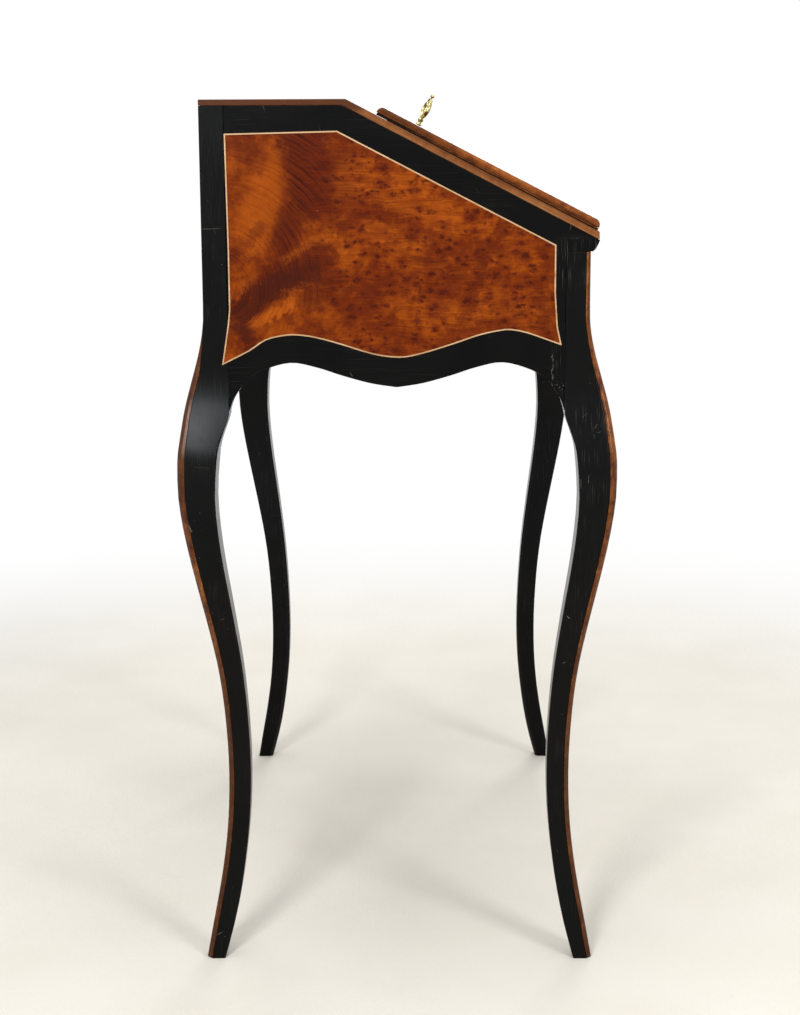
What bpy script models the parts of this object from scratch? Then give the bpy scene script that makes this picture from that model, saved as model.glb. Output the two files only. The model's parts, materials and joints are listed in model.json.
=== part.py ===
"""A slant-front writing desk on four cabriole legs, in metres.

The front faces -Y, +Z is up, and the origin is on the floor under the middle of the case.
"""

import math

import bmesh
import bpy

for old in list(bpy.data.objects):
    bpy.data.objects.remove(old, do_unlink=True)

# Driving sizes of the case.
CASE_WIDTH = 0.680
CASE_DEPTH = 0.402
HEIGHT = 0.930
SLOPE_RISE = 0.1345  # from the writing height up to the top
TOP_DEPTH = 0.150
NOSE = 0.0085  # the hinge line lies this far in front of the case

# Clearances.
GAP = 0.0003  # between pieces that are glued or screwed together
INLAY_GAP = 0.00015  # around inlaid veneers
RUN_GAP = 0.0008  # around pieces that slide

# Boards.
SIDE_THICK = 0.020
TOP_THICK = 0.014
BACK_THICK = 0.010
FLOOR_THICK = 0.0095
APRON_THICK = 0.018
EDGE_SLOPE = 0.0070  # edging on the sloped edges, across its thickness
EDGE_TOP = 0.0060  # edging beside the top board
POST_DEPTH = 0.0255  # corner posts at the top of the legs, front to back
CORNICE_HEIGHT = 0.020
CORNICE_DEPTH = 0.045
RAIL_THICK = 0.012  # fixed sloped rail above the lid
RAIL_SHOWN = 0.034
RAIL_LAP = 0.021  # how far the lid lies over that rail

# Lid.
LID_THICK = 0.0100
LID_BASE = 0.0023  # square part of the lid's edge under the moulding
LID_MOULD = 0.0100  # width of the moulding round the lid
LID_START = 0.0025  # from the hinge line to the lid's lower end
LID_SEAT = 0.0003
LID_BORDER = 0.018
LEATHER_MARGIN = 0.036
LEATHER_THICK = 0.0010

# Inlays.
STRING_WIDTH = 0.0014
INLAY_DEPTH = 0.0020

# Drawer, lopers and runners.
DRAWER_OPENING = 0.0795
DRAWER_REAR = 0.032  # free space behind the drawer
FRONT_THICK = 0.018
DRAWER_WALL = 0.008
DRAWER_BOTTOM = 0.005
LOPER_WIDTH = 0.0185
LOPER_LENGTH = 0.220
WEB_THICK = 0.0068
RUNNER_THICK = 0.010
RUNNER_LEDGE = 0.018

# Nest of small drawers and pigeonholes.
NEST_DEPTH = 0.127
NEST_DRAWER_HEIGHT = 0.052
NEST_WALL = 0.007
NEST_NICHE = 0.200  # width of the open middle compartment
TRAY_WALL = 0.005
TRAY_FRONT = 0.008

# Brass and steel.
HINGE_INSET = 0.125  # hinge centres from the case sides
HINGE_LENGTH = 0.036
HINGE_LEAF = 0.0155
LEAF_THICK = 0.0012
KNUCKLE_RADIUS = 0.0018
LOCK_WIDTH = 0.056
LOCK_LENGTH = 0.0465
LOCK_DEPTH = 0.0092
LOCK_WALL = 0.0015
BOLT_WIDTH = 0.016
BOLT_THICK = 0.0028
KEY_SETBACK = 0.0428  # key centre from the lid's upper end
KEY_TURN = math.radians(13)  # how far the bow stands off the crosswise line
SHANK_RADIUS = 0.0022
BOW_HALF = 0.0125  # half the width of the key's bow
BOW_CENTRE = 0.0345  # height of the bow's middle over the lid's underside
BOW_THICK = 0.0042
KEYHOLE_RADIUS = 0.0032
PLATE_THICK = 0.0008

# Derived lines of the case.
HALF_W = CASE_WIDTH / 2
HALF_D = CASE_DEPTH / 2
INNER_W = HALF_W - SIDE_THICK
JOINT_Y = HALF_D - POST_DEPTH
AXIS_Y = -HALF_D - NOSE
AXIS_Z = HEIGHT - SLOPE_RISE
BREAK_Y = HALF_D - TOP_DEPTH
SLOPE = math.atan2(SLOPE_RISE, BREAK_Y - AXIS_Y)
SLOPE_LENGTH = math.hypot(SLOPE_RISE, BREAK_Y - AXIS_Y)
LID_END = SLOPE_LENGTH - RAIL_SHOWN
RAIL_LOW = LID_END - RAIL_LAP
CORNICE_Z = AXIS_Z - CORNICE_HEIGHT
DRAWER_Z = CORNICE_Z - DRAWER_OPENING
LEG_TOP = DRAWER_Z - 0.006
TOP_UNDER = HEIGHT - TOP_THICK
BACK_INNER = HALF_D - 0.002 - BACK_THICK
FLOOR_TOP = AXIS_Z - GAP

# One cabriole leg: share of the leg's height, then how far the outer faces stand out from the case
# front to back and sideways, and how far the inner face lies from the post's inner face, in millimetres.
LEG_ROWS = (
    (0.000, 11.7, 11.7, 16.9),
    (0.054, 4.9, 4.9, 6.9),
    (0.107, -2.1, -2.1, -0.7),
    (0.162, -8.1, -8.1, -6.3),
    (0.216, -12.1, -12.1, -10.4),
    (0.270, -14.0, -14.0, -12.6),
    (0.323, -14.1, -14.1, -13.0),
    (0.377, -12.5, -12.5, -11.8),
    (0.432, -9.5, -9.5, -9.5),
    (0.486, -4.7, -4.7, -6.1),
    (0.539, 2.0, 2.0, -1.5),
    (0.593, 9.6, 9.0, 3.6),
    (0.646, 17.1, 15.5, 8.8),
    (0.701, 24.0, 20.5, 13.1),
    (0.755, 28.6, 23.0, 15.2),
    (0.809, 29.2, 19.6, 13.2),
    (0.836, 27.3, 15.6, 10.3),
    (0.862, 24.6, 10.8, 4.0),
    (0.880, 22.6, 7.4, 0.0),
    (0.901, 19.5, 3.9, 0.0),
    (0.928, 14.5, 1.0, 0.0),
    (0.951, 10.0, 0.0, 0.0),
    (0.974, 5.7, 0.0, 0.0),
    (1.000, 2.0, 0.0, 0.0),
    (1.022, 0.3, 0.0, 0.0),
)
POST_SHARE = 1.045  # the post is straight from here up
KNEE_SHARE = 0.70  # above this the inner faces never pass the post's inner faces
# How far the middle of an outer face is rounded out, at shares of the leg's height, in millimetres.
CROWN_ROWS = ((0.0, 0.0), (0.10, 0.4), (0.60, 0.6), (0.80, 0.8), (0.88, 0.5), (0.945, 0.0), (2.0, 0.0))

# Width of the canted corner edging at shares of the leg's height, in millimetres.
EDGING_ROWS = ((0.0, 5.5), (0.5, 6.0), (0.8, 8.0), (0.95, 6.2), (1.0, 5.0), (2.0, 5.0))
EDGING_START = 0.003  # clear of the floor
EDGING_END = 0.996  # on the back legs the edging dies out here
EDGING_FADE = 0.945
CANT_SHARE = 0.55

# Serpentine lower edge near a leg: distance in from the leg, height from the leg's top, in millimetres.
EAR_ROWS = ((0.0, -80.0), (3.5, -69.5), (8.0, -61.5), (18.0, -48.2), (35.0, -37.0), (64.5, -29.0))
# The rest of it: share of the way to the middle, height from the leg's top.
SWAG_ROWS = ((0.25, -34.0), (0.487, -42.5), (0.75, -50.5), (0.97, -54.4), (1.0, -54.6))

# Inlaid panel on a side: lower edge from back to front as a share of half the depth, then height.
PANEL_FOOT = (
    (0.908, -31.4),
    (0.765, -17.0),
    (0.678, -5.6),
    (0.583, -1.0),
    (0.514, -0.5),
    (0.419, -3.2),
    (0.290, -10.2),
    (0.120, -20.7),
    (-0.015, -24.0),
    (-0.120, -20.7),
    (-0.278, -11.2),
    (-0.429, -1.0),
    (-0.539, 3.7),
    (-0.594, 4.3),
    (-0.674, 1.2),
    (-0.777, -6.0),
    (-0.856, -11.7),
)
PANEL_TOP_BORDER = 0.0315
PANEL_TOP_FALL = 0.0025  # the panel's upper edge falls this much towards the back
PANEL_SLOPE_BORDER = 0.0320
PANEL_FRONT_BORDER = 0.0358
PANEL_BACK_BORDER = 0.0270

# Moulding under the lid: forward of the case front and height over the rail's underside.
CORNICE_ROWS = ((0.0019, 0.0), (0.0046, 0.0024), (0.0076, 0.0080), (0.0092, 0.0123))


def on_slope(along, out):
    """(y, z) of a point given along the slope from the hinge line and outwards from the sloped edges."""
    y = AXIS_Y + along * math.cos(SLOPE) - out * math.sin(SLOPE)
    z = AXIS_Z + along * math.sin(SLOPE) + out * math.cos(SLOPE)
    return y, z


def smooth_rows(rows, steps):
    """Rows of numbers with a smooth curve drawn through them, steps to a span."""
    found = []
    last = len(rows) - 1
    for i in range(last):
        before = rows[max(i - 1, 0)]
        start = rows[i]
        end = rows[i + 1]
        after = rows[min(i + 2, last)]
        for k in range(steps):
            t = k / steps
            row = []
            for a, b, c, d in zip(before, start, end, after):
                curve = 2 * b + (c - a) * t
                curve += (2 * a - 5 * b + 4 * c - d) * t**2
                curve += (3 * b - a - 3 * c + d) * t**3
                row.append(curve / 2)
            found.append(tuple(row))
    found.append(tuple(rows[-1]))
    return found


def between(rows, at):
    """Value at a place in rows of (place, value), straight from one row to the next."""
    for (a, low), (b, high) in zip(rows, rows[1:]):
        if at <= b:
            return low + (high - low) * (at - a) / (b - a)
    return rows[-1][1]


def inset(outline, distance):
    """The outline drawn in by a distance, corners mitred."""
    area = 0.0
    for (ax, ay), (bx, by) in zip(outline, outline[1:] + outline[:1]):
        area += ax * by - bx * ay
    turn = 1 if area > 0 else -1
    found = []
    for i, (x, y) in enumerate(outline):
        px, py = outline[i - 1]
        qx, qy = outline[(i + 1) % len(outline)]
        a = math.hypot(x - px, y - py)
        b = math.hypot(qx - x, qy - y)
        first = (-(y - py) / a * turn, (x - px) / a * turn)
        second = (-(qy - y) / b * turn, (qx - x) / b * turn)
        share = 1 + first[0] * second[0] + first[1] * second[1]
        found.append((x + (first[0] + second[0]) / share * distance, y + (first[1] + second[1]) / share * distance))
    return found


def ellipse(centre, half, count):
    """Points round an ellipse."""
    points = []
    for i in range(count):
        angle = 2 * math.pi * i / count
        points.append((centre[0] + half[0] * math.cos(angle), centre[1] + half[1] * math.sin(angle)))
    return points


def serpentine(half_span):
    """Lower edge of an apron from one leg to the other, as (place across, height)."""
    rows = list(EAR_ROWS)
    reach = EAR_ROWS[-1][0]
    for share, height in SWAG_ROWS:
        rows.append((reach + share * (half_span * 1000 - reach), height))
    half = []
    for step, height in smooth_rows(rows, 4):
        half.append((half_span - step / 1000, LEG_TOP + height / 1000))
    mirrored = []
    for place, height in reversed(half[:-1]):
        mirrored.append((-place, height))
    return half + mirrored


def leg_faces(share):
    """Outer and inner faces of a leg, (outer x, outer y, inner x, inner y), at a share of its height."""
    out_y = between([(row[0], row[1]) for row in LEG_CURVE], share)
    out_x = between([(row[0], row[2]) for row in LEG_CURVE], share)
    inner = between([(row[0], row[3]) for row in LEG_CURVE], share)
    if share > 0.94:
        out_x = max(out_x, 0.0)
        out_y = max(out_y, 0.0)
    if share >= POST_SHARE:
        out_x = 0.0
        out_y = 0.0
    if share > KNEE_SHARE:
        inner = max(inner, 0.0)
    outer_y = HALF_D + out_y / 1000
    outer_x = HALF_W + out_x / 1000
    inner_y = JOINT_Y + inner / 1000
    inner_x = outer_x - (outer_y - inner_y)
    if share > KNEE_SHARE:
        inner_x = max(inner_x, INNER_W)
    if share > 0.875:
        inner_x = INNER_W
    return outer_x, outer_y, inner_x, inner_y


LEG_CURVE = smooth_rows(LEG_ROWS, 2)


MATERIALS = {}


def material(name, colour, roughness, metallic=0.0):
    made = bpy.data.materials.new(name)
    made.use_nodes = True
    shader = made.node_tree.nodes["Principled BSDF"]
    shader.inputs["Base Color"].default_value = (*colour, 1.0)
    shader.inputs["Roughness"].default_value = roughness
    shader.inputs["Metallic"].default_value = metallic
    MATERIALS[name] = made


material("ebonised_wood", (0.012, 0.011, 0.010), 0.28)
material("burl_veneer", (0.36, 0.13, 0.035), 0.30)
material("boxwood_string", (0.80, 0.55, 0.25), 0.35)
material("edging_wood", (0.25, 0.075, 0.028), 0.32)
material("inside_wood", (0.30, 0.13, 0.055), 0.45)
material("drawer_wood", (0.50, 0.34, 0.19), 0.60)
material("leather", (0.10, 0.022, 0.018), 0.55)
material("gilt_brass", (0.78, 0.56, 0.22), 0.28, 1.0)
material("lock_steel", (0.42, 0.41, 0.40), 0.40, 1.0)


def body(name, place, turn=0.0, parent=None):
    """An empty on a joint, with the slope's turn where its pieces lie along the slope."""
    made = bpy.data.objects.new(name, None)
    made.empty_display_size = 0.02
    made.location = place
    made.rotation_euler = (turn, 0.0, 0.0)
    made.parent = parent
    bpy.context.collection.objects.link(made)
    return made


def add(name, bm, surface, holder=None, smooth=False, cutter=False):
    """Turns a bmesh into one named piece, or into a helper that only cuts."""
    bmesh.ops.recalc_face_normals(bm, faces=bm.faces)
    mesh = bpy.data.meshes.new(name)
    bm.to_mesh(mesh)
    bm.free()
    made = bpy.data.objects.new(name, mesh)
    bpy.context.collection.objects.link(made)
    made.parent = holder
    if smooth:
        mesh.shade_smooth()
        mesh.set_sharp_from_angle(angle=math.radians(32))
    if cutter:
        made.hide_render = True
        made.display_type = "WIRE"
    else:
        mesh.materials.append(MATERIALS[surface])
    return made


def along_x(a, b, depth):
    return depth, a, b


def along_y(a, b, depth):
    return a, depth, b


def along_z(a, b, depth):
    return a, b, depth


def loft(rings, closed_ends=True):
    """A skin over rings of points, with flat ends."""
    bm = bmesh.new()
    rows = []
    for ring in rings:
        rows.append([bm.verts.new(point) for point in ring])
    count = len(rows[0])
    for low, high in zip(rows, rows[1:]):
        for i in range(count):
            j = (i + 1) % count
            bm.faces.new((low[i], low[j], high[j], high[i]))
    if closed_ends:
        bm.faces.new(rows[0])
        bm.faces.new(rows[-1])
    else:
        for i in range(count):
            j = (i + 1) % count
            bm.faces.new((rows[-1][i], rows[-1][j], rows[0][j], rows[0][i]))
    return bm


def prism(outline, low, high, place):
    """An outline drawn straight from one depth to another."""
    rings = []
    for depth in (low, high):
        rings.append([place(a, b, depth) for a, b in outline])
    return loft(rings)


def ring_prism(outer, inner, low, high, place):
    """A frame between two outlines with the same number of points."""
    rings = []
    for outline, depth in ((outer, low), (outer, high), (inner, high), (inner, low)):
        rings.append([place(a, b, depth) for a, b in outline])
    return loft(rings, closed_ends=False)


def rectangle(low_a, high_a, low_b, high_b):
    return [(low_a, low_b), (high_a, low_b), (high_a, high_b), (low_a, high_b)]


def block_mesh(low, high):
    return prism(rectangle(low[0], high[0], low[1], high[1]), low[2], high[2], along_z)


def block(name, low, high, surface, holder=None, ease=0.0006):
    """A board with its edges eased."""
    bm = block_mesh(low, high)
    if ease:
        bmesh.ops.recalc_face_normals(bm, faces=bm.faces)
        bmesh.ops.bevel(bm, geom=bm.edges[:], offset=ease, segments=1, affect="EDGES")
    return add(name, bm, surface, holder)


def stepped(outer, inner, depths):
    """Two rectangles on each other, or a rectangle with a pocket, as one body."""
    rings = []
    for outline, depth in zip((outer, outer, inner, inner), depths):
        rings.append([(a, b, depth) for a, b in rectangle(*outline)])
    return loft(rings)


def lathe(profile, count):
    """A turned shape round the z axis from (radius, height) rows, closed at both ends."""
    rings = []
    for radius, height in profile:
        rings.append([(x, y, height) for x, y in ellipse((0.0, 0.0), (radius, radius), count)])
    return loft(rings)


def cut(target, tool, operation="DIFFERENCE"):
    modifier = target.modifiers.new(tool.name, "BOOLEAN")
    modifier.operation = operation
    modifier.solver = "EXACT"
    modifier.object = tool


def cut_prism(targets, name, outline, low, high, place, holder=None):
    tool = add(name, prism(outline, low, high, place), None, holder, cutter=True)
    for target in targets:
        cut(target, tool)
    return tool


def inlay(prefix, outline, place, boards, holder=None):
    """A pale string and a burl veneer let into boards, flush with their face; depth 0 is the face."""
    cut_prism(boards, prefix + "_recess", outline, -INLAY_DEPTH, 0.004, place, holder)
    bottom = INLAY_GAP - INLAY_DEPTH
    outer = inset(outline, INLAY_GAP)
    inner = inset(outline, INLAY_GAP + STRING_WIDTH)
    field = inset(outline, 2 * INLAY_GAP + STRING_WIDTH)
    add(prefix + "_stringing", ring_prism(outer, inner, bottom, 0.0, place), "boxwood_string", holder)
    return add(prefix + "_burl", prism(field, bottom, 0.0, place), "burl_veneer", holder)


def edging_width(share, back):
    width = between(EDGING_ROWS, share)
    if back and share > EDGING_FADE:
        width *= 1 - 0.8 * (share - EDGING_FADE) / (EDGING_END - EDGING_FADE)
    return width / 1000


def build_leg(side, end, top):
    """A leg with its corner post, and the canted edging on its outer corner."""
    back = end > 0
    where = ("back" if back else "front") + "_" + ("left" if side < 0 else "right")
    shares = [row[0] for row in LEG_CURVE]
    shares += [POST_SHARE, top / LEG_TOP]
    edged = [EDGING_START] + [share for share in shares if share > EDGING_START and (not back or share < EDGING_END)]
    if back:
        edged.append(EDGING_END)
        shares += [EDGING_END, EDGING_END + 0.0012]
        shares.sort()
    rings = []
    for share in shares:
        outer_x, outer_y, inner_x, inner_y = leg_faces(share)
        edge = 0.0015 if share < 0.86 else 0.0005
        inmost = 0.004 if share < 0.80 else 0.0005
        corner = 0.0006
        if not back or share <= EDGING_END:
            corner = edging_width(share, back) + GAP * math.sqrt(2)
        crown = between(CROWN_ROWS, share) / 1000
        ring = [
            (outer_x, outer_y - corner),
            (outer_x - corner, outer_y),
            ((outer_x - corner + inner_x + edge) / 2, outer_y + crown),
            (inner_x + edge, outer_y),
            (inner_x, outer_y - edge),
            (inner_x, inner_y + inmost),
            (inner_x + inmost, inner_y),
            (outer_x - edge, inner_y),
            (outer_x, inner_y + edge),
            (outer_x + crown, (inner_y + edge + outer_y - corner) / 2),
        ]
        rings.append([(side * x, end * y, share * LEG_TOP) for x, y in ring])
    leg = add("leg_" + where, loft(rings), "ebonised_wood", smooth=True)
    strips = []
    for share in edged:
        outer_x, outer_y, _, _ = leg_faces(share)
        width = edging_width(share, back)
        cant = width * CANT_SHARE
        ring = [
            (outer_x, outer_y - cant),
            (outer_x - cant, outer_y),
            (outer_x - width, outer_y),
            (outer_x, outer_y - width),
        ]
        strips.append([(side * x, end * y, share * LEG_TOP) for x, y in ring])
    add("corner_edging_" + where, loft(strips), "edging_wood", smooth=True)
    return leg


def cornice_line(top):
    """Front of the moulding under the lid, upwards from the rail's underside to a height."""
    points = []
    for forward, height in CORNICE_ROWS:
        if CORNICE_Z + height < top:
            points.append((-HALF_D - forward, CORNICE_Z + height))
    forward = between([(height, forward) for forward, height in CORNICE_ROWS], top - CORNICE_Z)
    points.append((-HALF_D - forward, top))
    return points


def side_outline():
    """A side seen from its face, with the serpentine lower edge and the front end of the moulding."""
    reach = JOINT_Y - GAP
    lower = [(max(min(y, reach), -reach), z) for y, z in reversed(serpentine(JOINT_Y))]
    under = EDGE_SLOPE + GAP
    top = HEIGHT - EDGE_TOP - GAP
    slope_end = AXIS_Z - under / math.cos(SLOPE)
    bend = BREAK_Y + (top - on_slope(SLOPE_LENGTH, -under)[1]) / math.tan(SLOPE)
    bend += on_slope(SLOPE_LENGTH, -under)[0] - BREAK_Y
    front = [(-HALF_D - CORNICE_ROWS[-1][0], slope_end + (NOSE - CORNICE_ROWS[-1][0]) * math.tan(SLOPE))]
    moulding = [point for point in reversed(cornice_line(CORNICE_Z + CORNICE_ROWS[-1][1] - 0.0009))]
    return lower + [(reach, top), (bend, top)] + front + moulding + [(-reach, CORNICE_Z)]


def edging_outline():
    """The edging on a side's top and sloped edges."""
    inner_end = AXIS_Z - EDGE_SLOPE / math.cos(SLOPE)
    y, z = on_slope(SLOPE_LENGTH, -EDGE_SLOPE)
    bend = y + (HEIGHT - EDGE_TOP - z) / math.tan(SLOPE)
    return [
        (HALF_D, HEIGHT),
        (BREAK_Y, HEIGHT),
        (AXIS_Y, AXIS_Z),
        (AXIS_Y, inner_end),
        (bend, HEIGHT - EDGE_TOP),
        (HALF_D, HEIGHT - EDGE_TOP),
    ]


def panel_outline():
    """The inlaid panel on a side: top, sloped edge, front edge and curved lower edge."""
    back = HALF_D - PANEL_BACK_BORDER
    front = -HALF_D + PANEL_FRONT_BORDER
    top = HEIGHT - PANEL_TOP_BORDER
    y, z = on_slope(0.0, -PANEL_SLOPE_BORDER)
    bend = y + (top - z) / math.tan(SLOPE)
    corner = z + (front - y) * math.tan(SLOPE)
    foot = []
    for share, height in smooth_rows(PANEL_FOOT, 3):
        foot.append((share * HALF_D, LEG_TOP + height / 1000))
    outline = [(back + 0.0015, top - PANEL_TOP_FALL), (bend, top), (front, corner), (front, LEG_TOP + 0.043)]
    outline += [(front - 0.0025, LEG_TOP + 0.008)]
    outline += list(reversed(foot))
    outline += [(back + 0.0017, LEG_TOP + 0.011), (back, LEG_TOP + 0.026), (back, LEG_TOP + 0.086)]
    return outline


# Legs, with the sides, edgings and side panels between them.
FRONT_POST_TOP = CORNICE_Z - GAP
BACK_POST_TOP = HEIGHT - EDGE_TOP - GAP
for side, word in ((-1, "left"), (1, "right")):
    build_leg(side, -1, FRONT_POST_TOP)
    back_leg = build_leg(side, 1, BACK_POST_TOP)
    board = add("side_" + word, prism(side_outline(), side * INNER_W, side * HALF_W, along_x), "ebonised_wood")

    def from_side(a, b, depth, side=side):
        return side * (HALF_W + depth), a, b

    inlay("side_" + word, panel_outline(), from_side, (board, back_leg))
    strip = prism(edging_outline(), side * (INNER_W + GAP), side * HALF_W, along_x)
    add("slope_edging_" + word, strip, "edging_wood")

# Back, top, writing floor and the fixed sloped rail above the lid.
SPAN = INNER_W - GAP
back_line = serpentine(SPAN) + [(-SPAN, TOP_UNDER - GAP), (SPAN, TOP_UNDER - GAP)]
add("back_panel", prism(back_line, BACK_INNER, BACK_INNER + BACK_THICK, along_y), "ebonised_wood")
top_board = block("top_board", (-SPAN, BREAK_Y, TOP_UNDER), (SPAN, HALF_D, HEIGHT), "ebonised_wood", ease=0.0005)


def from_top(a, b, depth):
    return a, b, HEIGHT + depth


top_margin = 0.024
inlay(
    "top",
    rectangle(-SPAN + top_margin, SPAN - top_margin, BREAK_Y + top_margin, HALF_D - top_margin),
    from_top,
    (top_board,),
)
block(
    "writing_floor",
    (-SPAN, -HALF_D + CORNICE_DEPTH - NOSE + GAP, FLOOR_TOP - FLOOR_THICK),
    (SPAN, BACK_INNER - GAP, FLOOR_TOP),
    "inside_wood",
)
rail_inner = on_slope(RAIL_LOW, -RAIL_THICK)
rail_line = [
    on_slope(RAIL_LOW, 0.0),
    (BREAK_Y - GAP, HEIGHT - GAP * math.tan(SLOPE)),
    (BREAK_Y - GAP, rail_inner[1] + (BREAK_Y - GAP - rail_inner[0]) * math.tan(SLOPE)),
    rail_inner,
]
slope_rail = add("slope_rail", prism(rail_line, -SPAN, SPAN, along_x), "ebonised_wood")

# Moulded rail under the lid.
LOPER_OUT = INNER_W - 0.001
LOPER_IN = LOPER_OUT - LOPER_WIDTH
LOPER_TOP = AXIS_Z - LID_SEAT - LID_THICK - 0.0004
cornice_outline = cornice_line(CORNICE_Z + CORNICE_ROWS[-1][1])
cornice_outline += [(AXIS_Y + GAP, FLOOR_TOP)]
cornice_outline += [(-HALF_D + CORNICE_DEPTH - NOSE, FLOOR_TOP), (-HALF_D + CORNICE_DEPTH - NOSE, CORNICE_Z)]
cornice = add("cornice_rail", prism(cornice_outline, -SPAN, SPAN, along_x), "ebonised_wood")
for side, word in ((-1, "left"), (1, "right")):
    cut_prism(
        (cornice,),
        "loper_notch_" + word,
        rectangle(side * (LOPER_IN - RUN_GAP), side * (SPAN + 0.004), CORNICE_Z - 0.004, LOPER_TOP + 0.0004),
        AXIS_Y - 0.01,
        AXIS_Y + CORNICE_DEPTH + 0.01,
        along_y,
    )


def build_apron():
    """Front apron: a serpentine rail whose face swells forward to meet the knees of the legs."""
    rings = []
    rows = 5
    for place, low in serpentine(SPAN):
        face = []
        rear = []
        in_from_leg = SPAN - abs(place)
        swell = max(0.0, 1 - in_from_leg / 0.075) ** 2
        for k in range(rows):
            height = low + (DRAWER_Z - 0.0005 - low) * k / (rows - 1)
            forward = leg_faces(height / LEG_TOP)[1] - HALF_D
            face.append((place, -HALF_D - forward * swell, height))
            rear.append((place, -HALF_D + APRON_THICK, height))
        rings.append(face + list(reversed(rear)))
    add("front_apron", loft(rings), "ebonised_wood", smooth=True)


build_apron()

# Runners that carry the drawer and the lopers.
APRON_BACK = -HALF_D + APRON_THICK
WEB_OUT = LOPER_IN - RUN_GAP
WEB_IN = WEB_OUT - WEB_THICK
RUNNER_TOP = DRAWER_Z
DRAWER_HALF = WEB_IN - RUN_GAP
DRAWER_TOP = CORNICE_Z - RUN_GAP
for side, word in ((-1, "left"), (1, "right")):
    runner_line = [
        (side * (DRAWER_HALF - RUNNER_LEDGE), RUNNER_TOP - RUNNER_THICK),
        (side * SPAN, RUNNER_TOP - RUNNER_THICK),
        (side * SPAN, RUNNER_TOP),
        (side * WEB_OUT, RUNNER_TOP),
        (side * WEB_OUT, DRAWER_TOP - 0.004),
        (side * WEB_IN, DRAWER_TOP - 0.004),
        (side * WEB_IN, RUNNER_TOP),
        (side * (DRAWER_HALF - RUNNER_LEDGE), RUNNER_TOP),
    ]
    runner = prism(runner_line, APRON_BACK + GAP, BACK_INNER - GAP, along_y)
    add("drawer_runner_" + word, runner, "drawer_wood")

    # The loper's front end carries on the moulding that it passes through.
    loper_holder = body("loper_axis_" + word, (side * (LOPER_IN + LOPER_WIDTH / 2), -HALF_D, RUNNER_TOP))
    loper_line = [(-HALF_D, RUNNER_TOP + 0.0004), (-HALF_D, CORNICE_Z)]
    loper_line += cornice_line(LOPER_TOP)
    loper_line += [(-HALF_D + LOPER_LENGTH, LOPER_TOP), (-HALF_D + LOPER_LENGTH, RUNNER_TOP + 0.0004)]
    shifted = [(y + HALF_D, z - RUNNER_TOP) for y, z in loper_line]
    loper = prism(shifted, -LOPER_WIDTH / 2, LOPER_WIDTH / 2, along_x)
    add("loper_" + word, loper, "ebonised_wood", loper_holder)

# The main drawer.
drawer = body("drawer_axis", (0.0, -HALF_D, DRAWER_Z))
FRONT_HALF = LOPER_IN - RUN_GAP
FRONT_TOP = DRAWER_TOP - DRAWER_Z
SIDE_TOP = FRONT_TOP - 0.009
DRAWER_END = CASE_DEPTH - DRAWER_REAR - 0.012
drawer_front = block(
    "drawer_front",
    (-FRONT_HALF, 0.0, 0.0005),
    (FRONT_HALF, FRONT_THICK, FRONT_TOP),
    "ebonised_wood",
    drawer,
)


def from_drawer(a, b, depth):
    return a, -depth, b


drawer_margin = 0.013
inlay(
    "drawer",
    rectangle(-FRONT_HALF + drawer_margin, FRONT_HALF - drawer_margin, drawer_margin, FRONT_TOP - drawer_margin),
    from_drawer,
    (drawer_front,),
    drawer,
)
for side, word in ((-1, "left"), (1, "right")):
    outer = side * DRAWER_HALF
    inner = side * (DRAWER_HALF - DRAWER_WALL)
    block(
        "drawer_side_" + word,
        (min(outer, inner), FRONT_THICK + GAP, 0.0005),
        (max(outer, inner), DRAWER_END, SIDE_TOP),
        "drawer_wood",
        drawer,
    )
inside_half = DRAWER_HALF - DRAWER_WALL - GAP
block(
    "drawer_back",
    (-inside_half, DRAWER_END - DRAWER_WALL, 0.0005),
    (inside_half, DRAWER_END, SIDE_TOP - 0.004),
    "drawer_wood",
    drawer,
)
block(
    "drawer_bottom",
    (-inside_half, FRONT_THICK + GAP, 0.004),
    (inside_half, DRAWER_END - DRAWER_WALL - GAP, 0.004 + DRAWER_BOTTOM),
    "drawer_wood",
    drawer,
    ease=0.0004,
)


def scutcheon(name, place, low, centre, holder):
    """A brass keyhole plate with a waisted outline."""
    outline = []
    for x, y in ellipse((0.0, 0.0), (1.0, 1.0), 28):
        angle = math.atan2(y, x)
        swell = 1 + 0.10 * math.cos(4 * angle)
        outline.append((centre[0] + 0.0105 * x * swell, centre[1] + 0.0170 * y * swell))
    made = add(name, prism(outline, low, low + PLATE_THICK, place), "gilt_brass", holder)
    hole = ellipse(centre, (KEYHOLE_RADIUS, KEYHOLE_RADIUS), 16)
    cut_prism((made,), name + "_hole", hole, low - 0.003, low + 0.004, place, holder)


scutcheon("drawer_escutcheon", from_drawer, 0.0001, (0.0, FRONT_TOP / 2), drawer)

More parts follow.
